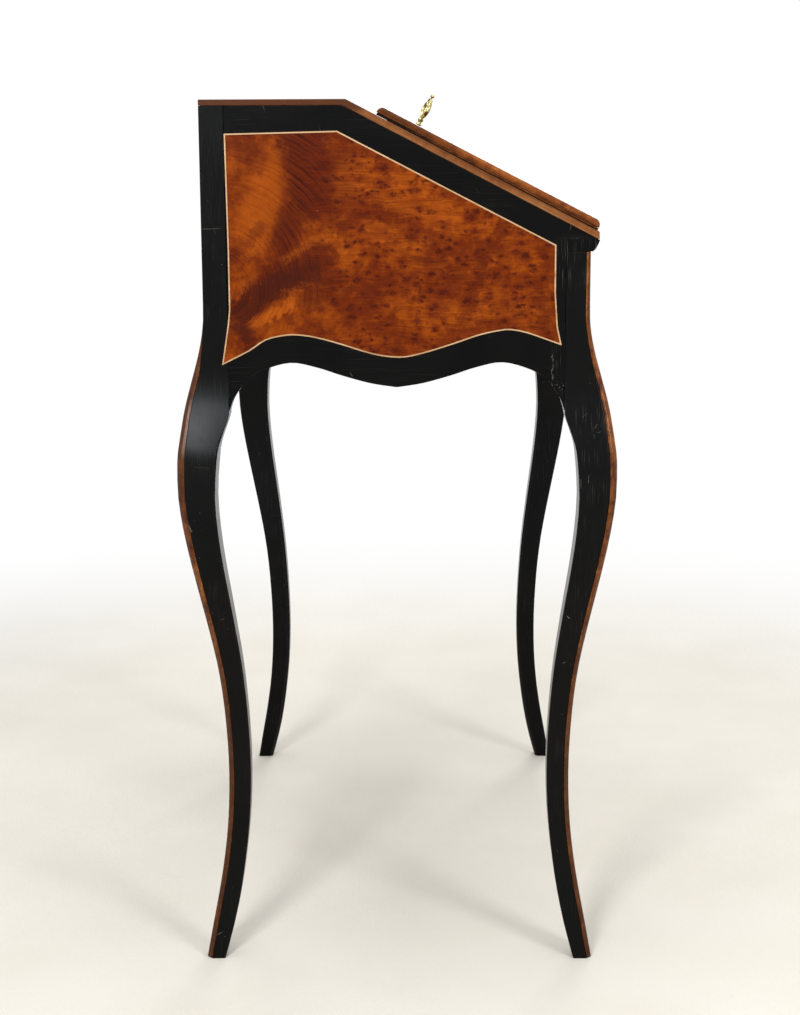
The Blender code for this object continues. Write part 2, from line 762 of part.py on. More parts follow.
# Nest of two small drawers and pigeonholes at the back of the writing floor.
NEST_FRONT = BACK_INNER - GAP - NEST_DEPTH
NEST_TOP = TOP_UNDER - GAP
NICHE_HALF = NEST_NICHE / 2
SHELF_Z = FLOOR_TOP + NEST_DRAWER_HEIGHT
for side, word in ((-1, "left"), (1, "right")):
    inner = side * NICHE_HALF
    outer = side * (NICHE_HALF + NEST_WALL)
    block(
        "nest_divider_" + word,
        (min(inner, outer), NEST_FRONT, FLOOR_TOP + GAP),
        (max(inner, outer), BACK_INNER - GAP, NEST_TOP),
        "inside_wood",
    )
    near = side * (NICHE_HALF + NEST_WALL + GAP)
    far = side * SPAN
    block(
        "nest_shelf_" + word,
        (min(near, far), NEST_FRONT + 0.002, SHELF_Z),
        (max(near, far), BACK_INNER - GAP, SHELF_Z + NEST_WALL),
        "inside_wood",
    )
    middle = (near + far) / 2
    half = abs(far - near) / 2 - RUN_GAP
    holder = body("nest_drawer_axis_" + word, (middle, NEST_FRONT + 0.001, FLOOR_TOP))
    deep = NEST_DEPTH - 0.010
    high = NEST_DRAWER_HEIGHT - RUN_GAP
    tray = stepped(
        (-half, half, 0.0, deep),
        (-half + TRAY_WALL, half - TRAY_WALL, TRAY_FRONT, deep - TRAY_WALL),
        (GAP, high, high, GAP + TRAY_WALL),
    )
    add("nest_drawer_" + word, tray, "inside_wood", holder)
    profile = ((0.0022, 0.0002), (0.0022, 0.0060), (0.0052, 0.0085), (0.0056, 0.0105), (0.0040, 0.0128), (0.0012, 0.0136))
    knob = lathe(profile, 16)
    for vertex in knob.verts:
        x, y, z = vertex.co
        vertex.co = (x, -z, y + high / 2)
    add("nest_knob_" + word, knob, "gilt_brass", holder, smooth=True)

# The lid, laid out along the slope: x across, y up the slope, z outwards.
lid = body("lid_axis", (0.0, AXIS_Y, AXIS_Z), SLOPE)
LID_HALF = HALF_W - 0.0010
LID_IN = LID_SEAT
LID_STEP = LID_SEAT + LID_BASE
LID_OUT = LID_SEAT + LID_THICK
core = (
    -LID_HALF + LID_MOULD + GAP,
    LID_HALF - LID_MOULD - GAP,
    LID_START + LID_MOULD + GAP,
    LID_END - LID_MOULD - GAP,
)
edge_back = 0.0010
lid_board = add(
    "lid_board",
    stepped(
        (-LID_HALF + edge_back, LID_HALF - edge_back, LID_START, LID_END - edge_back),
        core,
        (LID_IN, LID_STEP, LID_STEP, LID_OUT),
    ),
    "ebonised_wood",
    lid,
)
mould_low = LID_STEP + GAP
mould_radius = LID_OUT - mould_low - 0.0006
mould_profile = [(0.0, mould_low), (LID_MOULD, mould_low)]
for k in range(7):
    angle = math.pi / 2 * k / 6
    out = LID_MOULD - mould_radius + mould_radius * math.cos(angle)
    mould_profile.append((out, mould_low + 0.0006 + mould_radius * math.sin(angle)))
mould_profile.append((0.0, LID_OUT))
mould_rings = []
for out, high in mould_profile:
    reach = rectangle(
        -LID_HALF + LID_MOULD - out,
        LID_HALF - LID_MOULD + out,
        LID_START + LID_MOULD - out,
        LID_END - LID_MOULD + out,
    )
    mould_rings.append([(x, y, high) for x, y in reach])
add("lid_moulding", loft(mould_rings, closed_ends=False), "edging_wood", lid, smooth=True)


def from_lid(a, b, depth):
    return a, b, LID_OUT + depth


def under_lid(a, b, depth):
    return a, b, LID_IN - depth


panel = rectangle(core[0] + LID_BORDER, core[1] - LID_BORDER, core[2] + LID_BORDER, core[3] - LID_BORDER)
lid_burl = inlay("lid", panel, from_lid, (lid_board,), lid)
KEY_PLACE = LID_END - KEY_SETBACK
LOCK_TOP = RAIL_LOW - 0.0030
LOCK_LOW = LOCK_TOP - LOCK_LENGTH
leather_line = rectangle(
    -LID_HALF + LEATHER_MARGIN, LID_HALF - LEATHER_MARGIN, LID_START + LEATHER_MARGIN, LOCK_LOW - 0.012
)
cut_prism((lid_board,), "leather_recess", leather_line, -LEATHER_THICK - GAP, 0.004, under_lid, lid)
leather = prism(inset(leather_line, GAP), -LEATHER_THICK, 0.0, under_lid)
add("lid_leather", leather, "leather", lid)
keyhole = ellipse((0.0, KEY_PLACE), (KEYHOLE_RADIUS, KEYHOLE_RADIUS), 16)
cut_prism((lid_board, lid_burl), "lid_keyhole", keyhole, -0.03, 0.01, from_lid, lid)
scutcheon("lid_escutcheon", from_lid, 0.0001, (0.0, KEY_PLACE), lid)

# Lock on the inside of the lid, its bolt, and the plate that takes the bolt.
lock_box = (-LOCK_WIDTH / 2, LOCK_WIDTH / 2, LOCK_LOW, LOCK_TOP)
lock_pocket = (
    -LOCK_WIDTH / 2 + LOCK_WALL,
    LOCK_WIDTH / 2 - LOCK_WALL,
    LOCK_LOW + LOCK_WALL,
    LOCK_TOP - LOCK_WALL,
)
lock_back = LOCK_WALL - LOCK_DEPTH
lock = add("lid_lock", stepped(lock_box, lock_pocket, (-LOCK_DEPTH, 0.0, 0.0, lock_back)), "lock_steel", lid)
BOLT_LOW = lock_back + 0.0009
slot = rectangle(
    -BOLT_WIDTH / 2 - RUN_GAP / 2, BOLT_WIDTH / 2 + RUN_GAP / 2, BOLT_LOW - RUN_GAP / 2, BOLT_LOW + BOLT_THICK + RUN_GAP / 2
)
cut_prism((lock,), "bolt_slot", slot, LOCK_TOP - 0.004, LOCK_TOP + 0.004, along_y, lid)
bolt = body("bolt_axis", (0.0, LOCK_TOP, BOLT_LOW + BOLT_THICK / 2), parent=lid)
BOLT_REAR = KEY_PLACE - LOCK_TOP + SHANK_RADIUS + 0.0012
block(
    "lock_bolt",
    (-BOLT_WIDTH / 2, BOLT_REAR, -BOLT_THICK / 2),
    (BOLT_WIDTH / 2, -0.0002, BOLT_THICK / 2),
    "gilt_brass",
    bolt,
    ease=0.0003,
)
strike_holder = body("strike_place", (0.0, AXIS_Y, AXIS_Z), SLOPE)
cut_prism((slope_rail,), "bolt_mortise", inset(slot, -0.0008), RAIL_LOW - 0.004, RAIL_LOW + 0.012, along_y, strike_holder)
plate_line = rectangle(-0.022, 0.022, -RAIL_THICK + 0.0010, -0.0010)
plate = prism(plate_line, RAIL_LOW - GAP - 0.0010, RAIL_LOW - GAP, along_y)
strike = add("strike_plate", plate, "gilt_brass", strike_holder)
cut_prism((strike,), "strike_slot", inset(slot, -0.0004), RAIL_LOW - 0.006, RAIL_LOW + 0.006, along_y, strike_holder)

# Key: a turned shank with an openwork bow and a bit.
key_axis = body("key_axis", (0.0, KEY_PLACE, 0.0), parent=lid)
key_profile = (
    (0.0014, -0.0062),
    (SHANK_RADIUS, -0.0055),
    (SHANK_RADIUS, 0.0122),
    (0.0034, 0.0128),
    (0.0036, 0.0142),
    (0.0026, 0.0152),
    (0.0024, 0.0178),
    (0.0034, 0.0188),
    (0.0034, 0.0200),
    (0.0020, 0.0214),
    (0.0016, 0.0240),
    (0.0016, 0.0465),
    (0.0024, 0.0478),
    (0.0026, 0.0495),
    (0.0018, 0.0512),
    (0.0006, 0.0524),
)
key = add("key", lathe(key_profile, 14), "gilt_brass", key_axis, smooth=True)
key_axis.rotation_euler = (0.0, 0.0, KEY_TURN)
bow_line = []
for x, y in ellipse((0.0, 0.0), (1.0, 1.0), 40):
    swell = 1 + 0.07 * math.cos(6 * math.atan2(y, x))
    bow_line.append((BOW_HALF * x * swell, BOW_CENTRE + 0.0122 * y * swell))
bow = add("key_bow", prism(bow_line, -BOW_THICK / 2, BOW_THICK / 2, along_y), None, key_axis, cutter=True)
cut(key, bow, "UNION")
# Two tall openings beside the stem, and two small ones under the crown of the bow.
for side, word in ((-1, "left"), (1, "right")):
    tall = ellipse((side * 0.0060, BOW_CENTRE - 0.0016), (0.0034, 0.0062), 14)
    cut_prism((key,), "key_opening_" + word, tall, -0.006, 0.006, along_y, key_axis)
    small = ellipse((side * 0.0040, BOW_CENTRE + 0.0080), (0.0017, 0.0017), 10)
    cut_prism((key,), "key_eye_" + word, small, -0.006, 0.006, along_y, key_axis)
bit = add("key_bit", block_mesh((-0.0010, -0.0066, -0.0034), (0.0010, -0.0010, -0.0012)), None, key_axis, cutter=True)
cut(key, bit, "UNION")


def hinge_leaf(name, holder, at, low, high, spans, reach):
    """One leaf of a butt hinge: a plate and the barrel pieces that belong to it, round the hinge line."""
    near = KNUCKLE_RADIUS + 0.0005
    half = HINGE_LENGTH / 2
    made = add(name, block_mesh((at - half, near, low), (at + half, reach, high)), "gilt_brass", holder)
    for i, (start, end) in enumerate(spans):
        barrel = ellipse((0.0, 0.0), (KNUCKLE_RADIUS, KNUCKLE_RADIUS), 16)
        tool = add(f"{name}_barrel_{i}", prism(barrel, at + start, at + end, along_x), None, holder, cutter=True)
        cut(made, tool, "UNION")
        tongue = block_mesh((at + start, 0.0004, low), (at + end, near + 0.002, high))
        cut(made, add(f"{name}_tongue_{i}", tongue, None, holder, cutter=True), "UNION")


# Hinges: the fixed leaves are let into the moulded rail and the others into the lid.
rail_holder = body("hinge_place", (0.0, AXIS_Y, AXIS_Z))
third = HINGE_LENGTH / 6
knuckle_gap = 0.0003
middle_span = ((-third + knuckle_gap, third - knuckle_gap),)
outer_spans = ((-HINGE_LENGTH / 2, -third), (third, HINGE_LENGTH / 2))
half_notch = HINGE_LENGTH / 2 + GAP
LEAF_REACH = LID_START + HINGE_LEAF
for side, word in ((-1, "left"), (1, "right")):
    at = side * (HALF_W - HINGE_INSET)
    hinge_leaf("hinge_fixed_" + word, rail_holder, at, -0.0006 - LEAF_THICK, -0.0006, middle_span, LEAF_REACH)
    hinge_leaf("hinge_lid_" + word, lid, at, LID_IN + 0.0001, LID_IN + 0.0001 + LEAF_THICK, outer_spans, LEAF_REACH)
    notch = [
        (-0.004, 0.004),
        (-0.004, -KNUCKLE_RADIUS - 0.0005),
        (KNUCKLE_RADIUS + 0.0005, -KNUCKLE_RADIUS - 0.0005),
        (KNUCKLE_RADIUS + 0.0005, -0.0009 - LEAF_THICK),
        (LEAF_REACH + GAP, -0.0009 - LEAF_THICK),
        (LEAF_REACH + GAP, 0.004),
    ]
    cut_prism((cornice,), "hinge_notch_" + word, notch, at - half_notch, at + half_notch, along_x, rail_holder)
    bed = rectangle(0.0, LEAF_REACH + GAP, -0.004, LID_IN + 0.0004 + LEAF_THICK)
    cut_prism((lid_board,), "hinge_bed_" + word, bed, at - half_notch, at + half_notch, along_x, lid)
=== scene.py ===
"""Looks of a slant-front writing desk: procedural woods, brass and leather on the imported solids.

Lengths are in metres, but for the key and its scrolls, which are drawn in millimetres.
"""

import json
import math

import bmesh
import bpy
from mathutils import Matrix, Vector


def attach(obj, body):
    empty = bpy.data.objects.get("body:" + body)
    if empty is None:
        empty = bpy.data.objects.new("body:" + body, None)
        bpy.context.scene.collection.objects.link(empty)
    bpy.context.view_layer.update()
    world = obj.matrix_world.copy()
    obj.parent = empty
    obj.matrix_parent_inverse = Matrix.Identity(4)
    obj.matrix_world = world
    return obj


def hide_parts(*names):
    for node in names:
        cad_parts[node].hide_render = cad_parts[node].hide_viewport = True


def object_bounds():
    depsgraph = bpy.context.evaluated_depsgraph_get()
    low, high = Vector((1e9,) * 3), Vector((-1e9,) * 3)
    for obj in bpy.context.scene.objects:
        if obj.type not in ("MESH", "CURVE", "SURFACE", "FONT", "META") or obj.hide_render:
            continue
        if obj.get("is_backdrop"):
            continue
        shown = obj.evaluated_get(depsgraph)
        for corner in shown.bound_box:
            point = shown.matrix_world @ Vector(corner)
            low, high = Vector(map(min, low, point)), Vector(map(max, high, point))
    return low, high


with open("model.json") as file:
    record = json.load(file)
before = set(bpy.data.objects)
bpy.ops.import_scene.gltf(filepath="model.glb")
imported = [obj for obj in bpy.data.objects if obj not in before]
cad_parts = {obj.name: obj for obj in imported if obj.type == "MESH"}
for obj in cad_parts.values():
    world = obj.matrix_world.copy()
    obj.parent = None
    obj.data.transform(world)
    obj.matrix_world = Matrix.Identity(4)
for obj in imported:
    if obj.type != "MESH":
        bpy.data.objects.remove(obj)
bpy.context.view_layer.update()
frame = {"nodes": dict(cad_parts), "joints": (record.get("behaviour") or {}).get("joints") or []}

NODES = frame["nodes"]
JOINTS = {joint["name"]: joint for joint in frame["joints"]}

# The slope of the lid, from the record's joints: the hinge line, up the slope, and square to it.
HINGE = Vector(JOINTS["lid_hinge"]["pos_m"])
KEY_PLACE = Vector(JOINTS["key_turn"]["pos_m"])
OUTWARD = Vector(JOINTS["key_turn"]["axis"])
UPWARD = Vector(JOINTS["bolt_slide"]["axis"])
SLOPE = math.atan2(UPWARD.z, UPWARD.y)

# The photograph's camera: place, direction and focal length in pixels of an image 1015 high.
CAMERA_PLACE = (-2.262, -0.023, 0.892)
CAMERA_YAW = math.radians(0.60)
CAMERA_TILT = math.radians(11.33)
CAMERA_ROLL = math.radians(-0.24)
FOCAL_PIXELS = 1850
IMAGE_HEIGHT = 1015
SENSOR = 36.0


def frame_at(origin, across, along, out):
    """A matrix whose columns are three directions and a place."""
    turn = Matrix((across, along, out)).transposed().to_4x4()
    return Matrix.Translation(origin) @ turn


LID_FRAME = frame_at(HINGE, Vector((1, 0, 0)), UPWARD, OUTWARD)


class Graph:
    """One material, with short ways to add and join its nodes."""

    def __init__(self, name, constants):
        self.material = bpy.data.materials.new(name)
        self.material.use_nodes = True
        self.nodes = self.material.node_tree.nodes
        self.links = self.material.node_tree.links
        self.shader = self.nodes["Principled BSDF"]
        for socket, value in constants.items():
            self.shader.inputs[socket].default_value = value
        coordinates = self.nodes.new("ShaderNodeTexCoord")
        self.place = coordinates.outputs["Object"]
        self.facing = coordinates.outputs["Normal"]

    def put(self, socket, value):
        if isinstance(value, bpy.types.NodeSocket):
            self.links.new(value, socket)
        elif isinstance(value, tuple) and socket.type == "RGBA":
            socket.default_value = (*value, 1.0)
        else:
            socket.default_value = value

    def add(self, kind, inputs, **settings):
        made = self.nodes.new("ShaderNode" + kind)
        for name, value in settings.items():
            setattr(made, name, value)
        for key, value in inputs.items():
            self.put(made.inputs[key], value)
        return made

    def math(self, operation, first, second=0.0):
        return self.add("Math", {0: first, 1: second}, operation=operation).outputs[0]

    def vector(self, operation, first, second=(0.0, 0.0, 0.0)):
        made = self.add("VectorMath", {0: first, 1: second}, operation=operation)
        return made.outputs["Value" if operation in ("DOT_PRODUCT", "LENGTH", "DISTANCE") else "Vector"]

    def parts(self, vector):
        return self.add("SeparateXYZ", {0: vector}).outputs

    def joined(self, x, y, z=0.0):
        return self.add("CombineXYZ", {0: x, 1: y, 2: z}).outputs[0]

    def turned(self, vector, angle, axis="X_AXIS"):
        return self.add("VectorRotate", {"Vector": vector, "Angle": angle}, rotation_type=axis).outputs[0]

    def noise(self, vector, scale=1.0, detail=2.0, rough=0.5, bend=0.0):
        inputs = {"Vector": vector, "Scale": scale, "Detail": detail, "Roughness": rough, "Distortion": bend}
        return self.add("TexNoise", inputs).outputs["Fac"]

    def warp(self, vector, scale, amount, detail=2.0):
        """The vector pushed about by a noise."""
        push = self.add("TexNoise", {"Vector": vector, "Scale": scale, "Detail": detail}).outputs["Color"]
        centred = self.vector("SUBTRACT", push, (0.5, 0.5, 0.5))
        return self.vector("ADD", vector, self.vector("MULTIPLY", centred, (amount, amount, amount)))

    def cells(self, vector, scale, feature="F1"):
        return self.add("TexVoronoi", {"Vector": vector, "Scale": scale}, feature=feature).outputs

    def step(self, value, low, high):
        """0 below low, 1 above high, smooth between; low may be the larger."""
        inputs = {"Value": value, "From Min": low, "From Max": high}
        return self.add("MapRange", inputs, interpolation_type="SMOOTHSTEP").outputs[0]

    def ramp(self, value, stops):
        made = self.add("ValToRGB", {0: value})
        elements = made.color_ramp.elements
        while len(elements) < len(stops):
            elements.new(0.5)
        for element, (place, colour) in zip(elements, stops):
            element.position = place
            element.color = (*colour, 1.0)
        return made.outputs["Color"]

    def blend(self, share, first, second):
        return self.add("Mix", {0: share, 2: first, 3: second}).outputs[0]

    def mix(self, share, first, second):
        return self.add("Mix", {0: share, 6: first, 7: second}, data_type="RGBA").outputs[2]

    def worn_edges(self, radius, noise_scale):
        """A patchy mask along the edges of a piece."""
        soft = self.add("Bevel", {"Radius": radius}, samples=4).outputs[0]
        true = self.nodes.new("ShaderNodeNewGeometry").outputs["Normal"]
        edge = self.step(self.vector("DOT_PRODUCT", soft, true), 0.985, 0.86)
        return self.math("MULTIPLY", edge, self.step(self.noise(self.place, noise_scale, 4.0), 0.42, 0.66))

    def finish(self, colour, roughness, height=None, depth=0.0001):
        self.put(self.shader.inputs["Base Color"], colour)
        self.put(self.shader.inputs["Roughness"], roughness)
        if height is not None:
            bump = self.add("Bump", {"Height": height, "Distance": depth, "Strength": 1.0})
            self.put(self.shader.inputs["Normal"], bump.outputs[0])
        return self.material


# How far the grain is drawn out along each axis, and on the uprights of the case.
GRAIN_DRAW = 0.012
UPRIGHT_DRAW = 0.022
AXIS_SCALES = {
    "x": (GRAIN_DRAW, 1.0, 1.0),
    "y": (1.0, GRAIN_DRAW, 1.0),
    "z": (1.0, 1.0, GRAIN_DRAW),
}

# Single marks on the near side's black wood, on its plane (towards the front, height):
# the middle, half the length, the lean from level in radians, how pale.
MARKS = (
    ((-0.1900, 0.8000), 0.0110, 0.04, 0.200),
    ((-0.2040, 0.5540), 0.0100, -0.06, 0.070),
    ((-0.0475, 0.6485), 0.0030, -1.00, 0.300),
    ((0.1870, 0.5400), 0.0040, 1.52, 0.300),
    ((0.1920, 0.5360), 0.0060, 1.60, 0.225),
    ((0.2000, 0.5410), 0.0050, 1.55, 0.250),
    ((0.2080, 0.5950), 0.0030, 0.90, 0.210),
    ((0.2110, 0.5890), 0.0022, 0.40, 0.210),
    ((0.2060, 0.5850), 0.0018, 1.90, 0.180),
    ((0.1960, 0.6060), 0.0040, 0.70, 0.120),
    ((0.1800, 0.8020), 0.0060, 1.30, 0.200),
)
# Where the polish has cracked over the joint of the front leg and flaked below it, and how pale both are.
CRACK_PLACE = 0.1625
CRACK_SHARE = 0.6
FLAKES = (0.166, 0.634)
BROKEN_POLISH = 0.50


def marked(g):
    """Mask of the single marks, the crack over the front joint and the flaked polish below it."""
    x, y, z = g.parts(g.place)
    shaken = g.warp(g.joined(g.math("MULTIPLY", y, -1.0), z), 260.0, 0.0012)
    found = None
    for centre, half, lean, strength in MARKS:
        offset = g.vector("SUBTRACT", shaken, (*centre, 0.0))
        run = g.vector("DOT_PRODUCT", offset, (math.cos(lean), math.sin(lean), 0.0))
        off = g.vector("DOT_PRODUCT", offset, (-math.sin(lean), math.cos(lean), 0.0))
        line = g.step(g.math("ABSOLUTE", off), 0.00042, 0.00010)
        line = g.math("MULTIPLY", line, g.step(g.math("ABSOLUTE", run), half, half * 0.6))
        line = g.math("MULTIPLY", line, strength)
        found = line if found is None else g.math("MAXIMUM", found, line)
    along, up, _ = g.parts(g.warp(shaken, 130.0, 0.0075, 4.0))
    crack = g.step(g.math("ABSOLUTE", g.math("SUBTRACT", along, CRACK_PLACE)), 0.0007, 0.0001)
    crack = g.math("MULTIPLY", crack, g.math("MULTIPLY", g.step(up, 0.673, 0.664), g.step(up, 0.612, 0.622)))
    crack = g.math("MULTIPLY", crack, CRACK_SHARE)
    flakes = g.step(g.vector("DISTANCE", shaken, (*FLAKES, 0.0)), 0.013, 0.003)
    flakes = g.math("MULTIPLY", flakes, g.step(g.noise(g.place, 420.0, 4.0, 0.7), 0.58, 0.64))
    broken = g.math("MULTIPLY", g.math("MAXIMUM", crack, flakes), BROKEN_POLISH)
    broken = g.math("MULTIPLY", broken, g.step(g.noise(g.place, 330.0, 3.0), 0.36, 0.54))
    return g.math("MULTIPLY", g.math("MAXIMUM", found, broken), g.step(x, -0.30, -0.31))


def straight_grain(g, along):
    """Coordinates stretched along the grain and how plainly its hairlines show."""
    if along == "x":
        return g.vector("MULTIPLY", g.place, AXIS_SCALES["x"]), 0.15
    x, y, z = g.parts(g.warp(g.place, 34.0, 0.0035))
    flat_y = g.math("MULTIPLY", y, GRAIN_DRAW)
    flat_z = g.math("MULTIPLY", z, UPRIGHT_DRAW)
    if along == "side":
        # Level on the side boards, upright in the strip in front of the panel.
        strip = g.math("MULTIPLY", g.step(y, -0.1605, -0.1615), g.step(z, 0.795, 0.788))
        grain = g.joined(g.blend(strip, flat_y, y), g.blend(strip, z, flat_z), strip)
        return grain, g.math("ADD", 0.06, g.math("MULTIPLY", strip, 0.84))
    # Upright on the legs, with each face's own depth left out so that the lines run unbroken.
    face = g.step(g.math("ABSOLUTE", g.parts(g.facing)[0]), 0.6, 0.8)
    grain = g.joined(g.blend(face, x, y), flat_z, face)
    dry = g.math("MULTIPLY", g.step(y, 0.02, -0.14), g.step(z, 0.30, 0.60))
    dry = g.math("MULTIPLY", dry, g.math("ADD", 0.35, g.math("MULTIPLY", g.step(x, 0.10, -0.10), 0.65)))
    return grain, g.math("ADD", 0.06, g.math("MULTIPLY", dry, 0.26))


def ebonised(name, along, lipped=False):
    """Black-stained wood under old polish: hairlines along the grain, scratches, specks and rubbed edges.

    The grain runs along x, up the legs for z, or as the sides have it."""
    shine, polish = (0.105, 0.17) if along == "z" else (0.085, 0.13)
    g = Graph(name, {"Specular IOR Level": shine})
    grain, strength = straight_grain(g, along)
    lines = g.step(g.noise(grain, 1250.0, 2.0, 0.5), 0.57, 0.68)
    patches = g.step(g.noise(g.place, 13.0, 3.0, 0.6), 0.40, 0.62)
    hairlines = g.math("MULTIPLY", g.math("MULTIPLY", lines, patches), strength)
    clouds = g.noise(g.place, 17.0, 5.0, 0.6)
    scratches = None
    for angle, seed in ((0.5, 3.1), (1.9, 7.7), (-0.8, 12.3)):
        shifted = g.vector("ADD", g.turned(g.place, angle), (seed, seed, seed))
        stretched = g.vector("MULTIPLY", shifted, (1.0, 0.03, 1.0))
        found = g.step(g.noise(stretched, 700.0, 1.0, 0.4), 0.775, 0.815)
        scratches = found if scratches is None else g.math("MAXIMUM", scratches, found)
    few = g.step(g.noise(g.place, 23.0, 2.0), 0.52, 0.68)
    scratches = g.math("MULTIPLY", g.math("MULTIPLY", scratches, few), 0.6)
    if along in ("side", "z"):
        scratches = g.math("MAXIMUM", scratches, marked(g))
    specks = g.step(g.cells(g.warp(g.place, 300.0, 0.002), 150.0)["Distance"], 0.075, 0.04)
    specks = g.math("MULTIPLY", specks, g.step(g.noise(g.place, 31.0, 2.0), 0.60, 0.66))
    worn = g.worn_edges(0.0016, 60.0)
    if along in ("side", "z"):
        # Nothing is rubbed along the glued joints between the sides and the legs.
        _, y, z = g.parts(g.place)
        from_middle = g.math("ABSOLUTE", y)
        if along == "z":
            off_joint = g.math("MAXIMUM", g.step(from_middle, 0.180, 0.186), g.step(z, 0.62, 0.58))
        else:
            off_joint = g.step(from_middle, 0.172, 0.166)
        worn = g.math("MULTIPLY", worn, off_joint)
    colour = g.ramp(clouds, ((0.30, (0.0003, 0.0004, 0.0005)), (0.72, (0.0020, 0.0018, 0.0016))))
    colour = g.mix(hairlines, colour, (0.100, 0.097, 0.094))
    colour = g.mix(g.math("MULTIPLY", worn, 0.7), colour, (0.052, 0.027, 0.014))
    colour = g.mix(g.math("MULTIPLY", specks, 0.6), colour, (0.13, 0.12, 0.11))
    colour = g.mix(scratches, colour, (0.230, 0.215, 0.195))
    if lipped:
        # The lid's ends are brown under the moulding, but black along the lower edge and at the upper corner.
        x, _, z = g.parts(g.place)
        above = g.vector("DOT_PRODUCT", g.vector("SUBTRACT", g.place, tuple(HINGE)), tuple(OUTWARD))
        brown = g.math("MULTIPLY", g.step(g.math("ABSOLUTE", x), 0.3355, 0.3362), g.step(z, 0.905, 0.870))
        brown = g.math("MULTIPLY", brown, g.step(above, 0.0012, 0.0015))
        figure = g.noise(g.vector("MULTIPLY", g.place, (1.0, 0.10, 1.0)), 240.0, 3.0, 0.6)
        browns = g.ramp(figure, ((0.35, (0.045, 0.0110, 0.0020)), (0.65, (0.200, 0.0560, 0.0100))))
        colour = g.mix(brown, colour, browns)
    rough = g.math("ADD", polish, g.math("MULTIPLY", g.noise(g.place, 42.0, 4.0, 0.65), 0.13))
    rough = g.math("ADD", rough, g.math("MULTIPLY", g.math("MAXIMUM", hairlines, scratches), 0.30))
    height = g.math("SUBTRACT", g.math("MULTIPLY", g.noise(grain, 300.0, 3.0), 0.35), hairlines)
    return g.finish(colour, rough, height, 0.00005)


# Figure of the side panels, on the side's own plane (towards the front, height): dark streams, the deepest
# places in them, and light lenses, each from one end to the other, with half its width and how strong it is.
DARK_STREAMS = (
    ((-0.094, 0.910), (-0.084, 0.832), 0.025, 1.00),
    ((-0.092, 0.834), (-0.116, 0.788), 0.015, 0.85),
    ((-0.066, 0.900), (-0.060, 0.842), 0.022, 0.45),
    ((-0.076, 0.772), (-0.122, 0.750), 0.015, 0.95),
    ((-0.122, 0.750), (-0.160, 0.718), 0.014, 1.00),
    ((-0.160, 0.714), (-0.150, 0.672), 0.008, 0.80),
    ((-0.062, 0.748), (-0.090, 0.728), 0.012, 0.65),
    ((-0.120, 0.896), (-0.118, 0.884), 0.003, 0.90),
    ((-0.174, 0.884), (-0.140, 0.872), 0.010, 0.35),
    ((-0.140, 0.800), (-0.172, 0.768), 0.006, 0.45),
    ((-0.056, 0.800), (-0.040, 0.812), 0.005, 0.55),
    ((-0.030, 0.884), (-0.012, 0.872), 0.007, 0.45),
    ((0.112, 0.800), (0.090, 0.768), 0.007, 0.70),
    ((0.090, 0.768), (0.073, 0.712), 0.007, 0.60),
    ((0.148, 0.740), (0.154, 0.696), 0.007, 0.60),
    ((0.030, 0.762), (0.062, 0.745), 0.012, 0.40),
    ((-0.020, 0.740), (-0.045, 0.712), 0.011, 0.45),
)
DEEPEST = (
    ((-0.085, 0.760), (-0.125, 0.742), 0.011, 0.75),
    ((-0.125, 0.742), (-0.160, 0.716), 0.010, 0.65),
    ((-0.164, 0.706), (-0.156, 0.690), 0.007, 0.60),
)
LIGHT_LENSES = (
    ((-0.110, 0.766), (-0.070, 0.792), 0.007, 0.95),
    ((-0.150, 0.704), (-0.110, 0.724), 0.006, 0.95),
    ((-0.148, 0.792), (-0.134, 0.836), 0.018, 0.62),
    ((-0.130, 0.838), (-0.128, 0.874), 0.010, 0.50),
    ((-0.145, 0.748), (-0.154, 0.738), 0.004, 0.60),
    ((-0.042, 0.852), (0.010, 0.842), 0.019, 0.62),
    ((0.000, 0.835), (0.050, 0.812), 0.017, 0.55),
    ((-0.040, 0.800), (0.020, 0.786), 0.010, 0.45),
    ((0.100, 0.725), (0.125, 0.715), 0.012, 0.45),
    ((0.120, 0.790), (0.140, 0.762), 0.010, 0.35),
    ((0.032, 0.712), (0.078, 0.716), 0.014, 0.55),
)
# Burl eyes: how many to a metre, the dark core's share of the spacing, how many are there, how strong.
EYES = (
    (50.0, 0.245, 0.80, 0.95),
    (92.0, 0.285, 0.74, 1.00),
    (160.0, 0.280, 0.46, 0.90),
)


def streams(g, plane, ragged, rows):
    """The strongest of several soft-edged streams at a point of the plane."""
    found = None
    for (start_a, start_b), (end_a, end_b), half, strength in rows:
        start = (start_a, start_b, 0.0)
        run = Vector((end_a - start_a, end_b - start_b, 0.0))
        heading = tuple(run.normalized())
        offset = g.vector("SUBTRACT", plane, start)
        reach = g.math("MAXIMUM", g.vector("DOT_PRODUCT", offset, heading), 0.0)
        reach = g.math("MINIMUM", reach, run.length)
        nearest = g.add("VectorMath", {0: heading, "Scale": reach}, operation="SCALE").outputs[0]
        away = g.math("ADD", g.vector("DISTANCE", offset, nearest), ragged)
        share = g.math("MULTIPLY", g.step(away, half * 1.55, half * 0.52), strength)
        found = share if found is None else g.math("MAXIMUM", found, share)
    return found


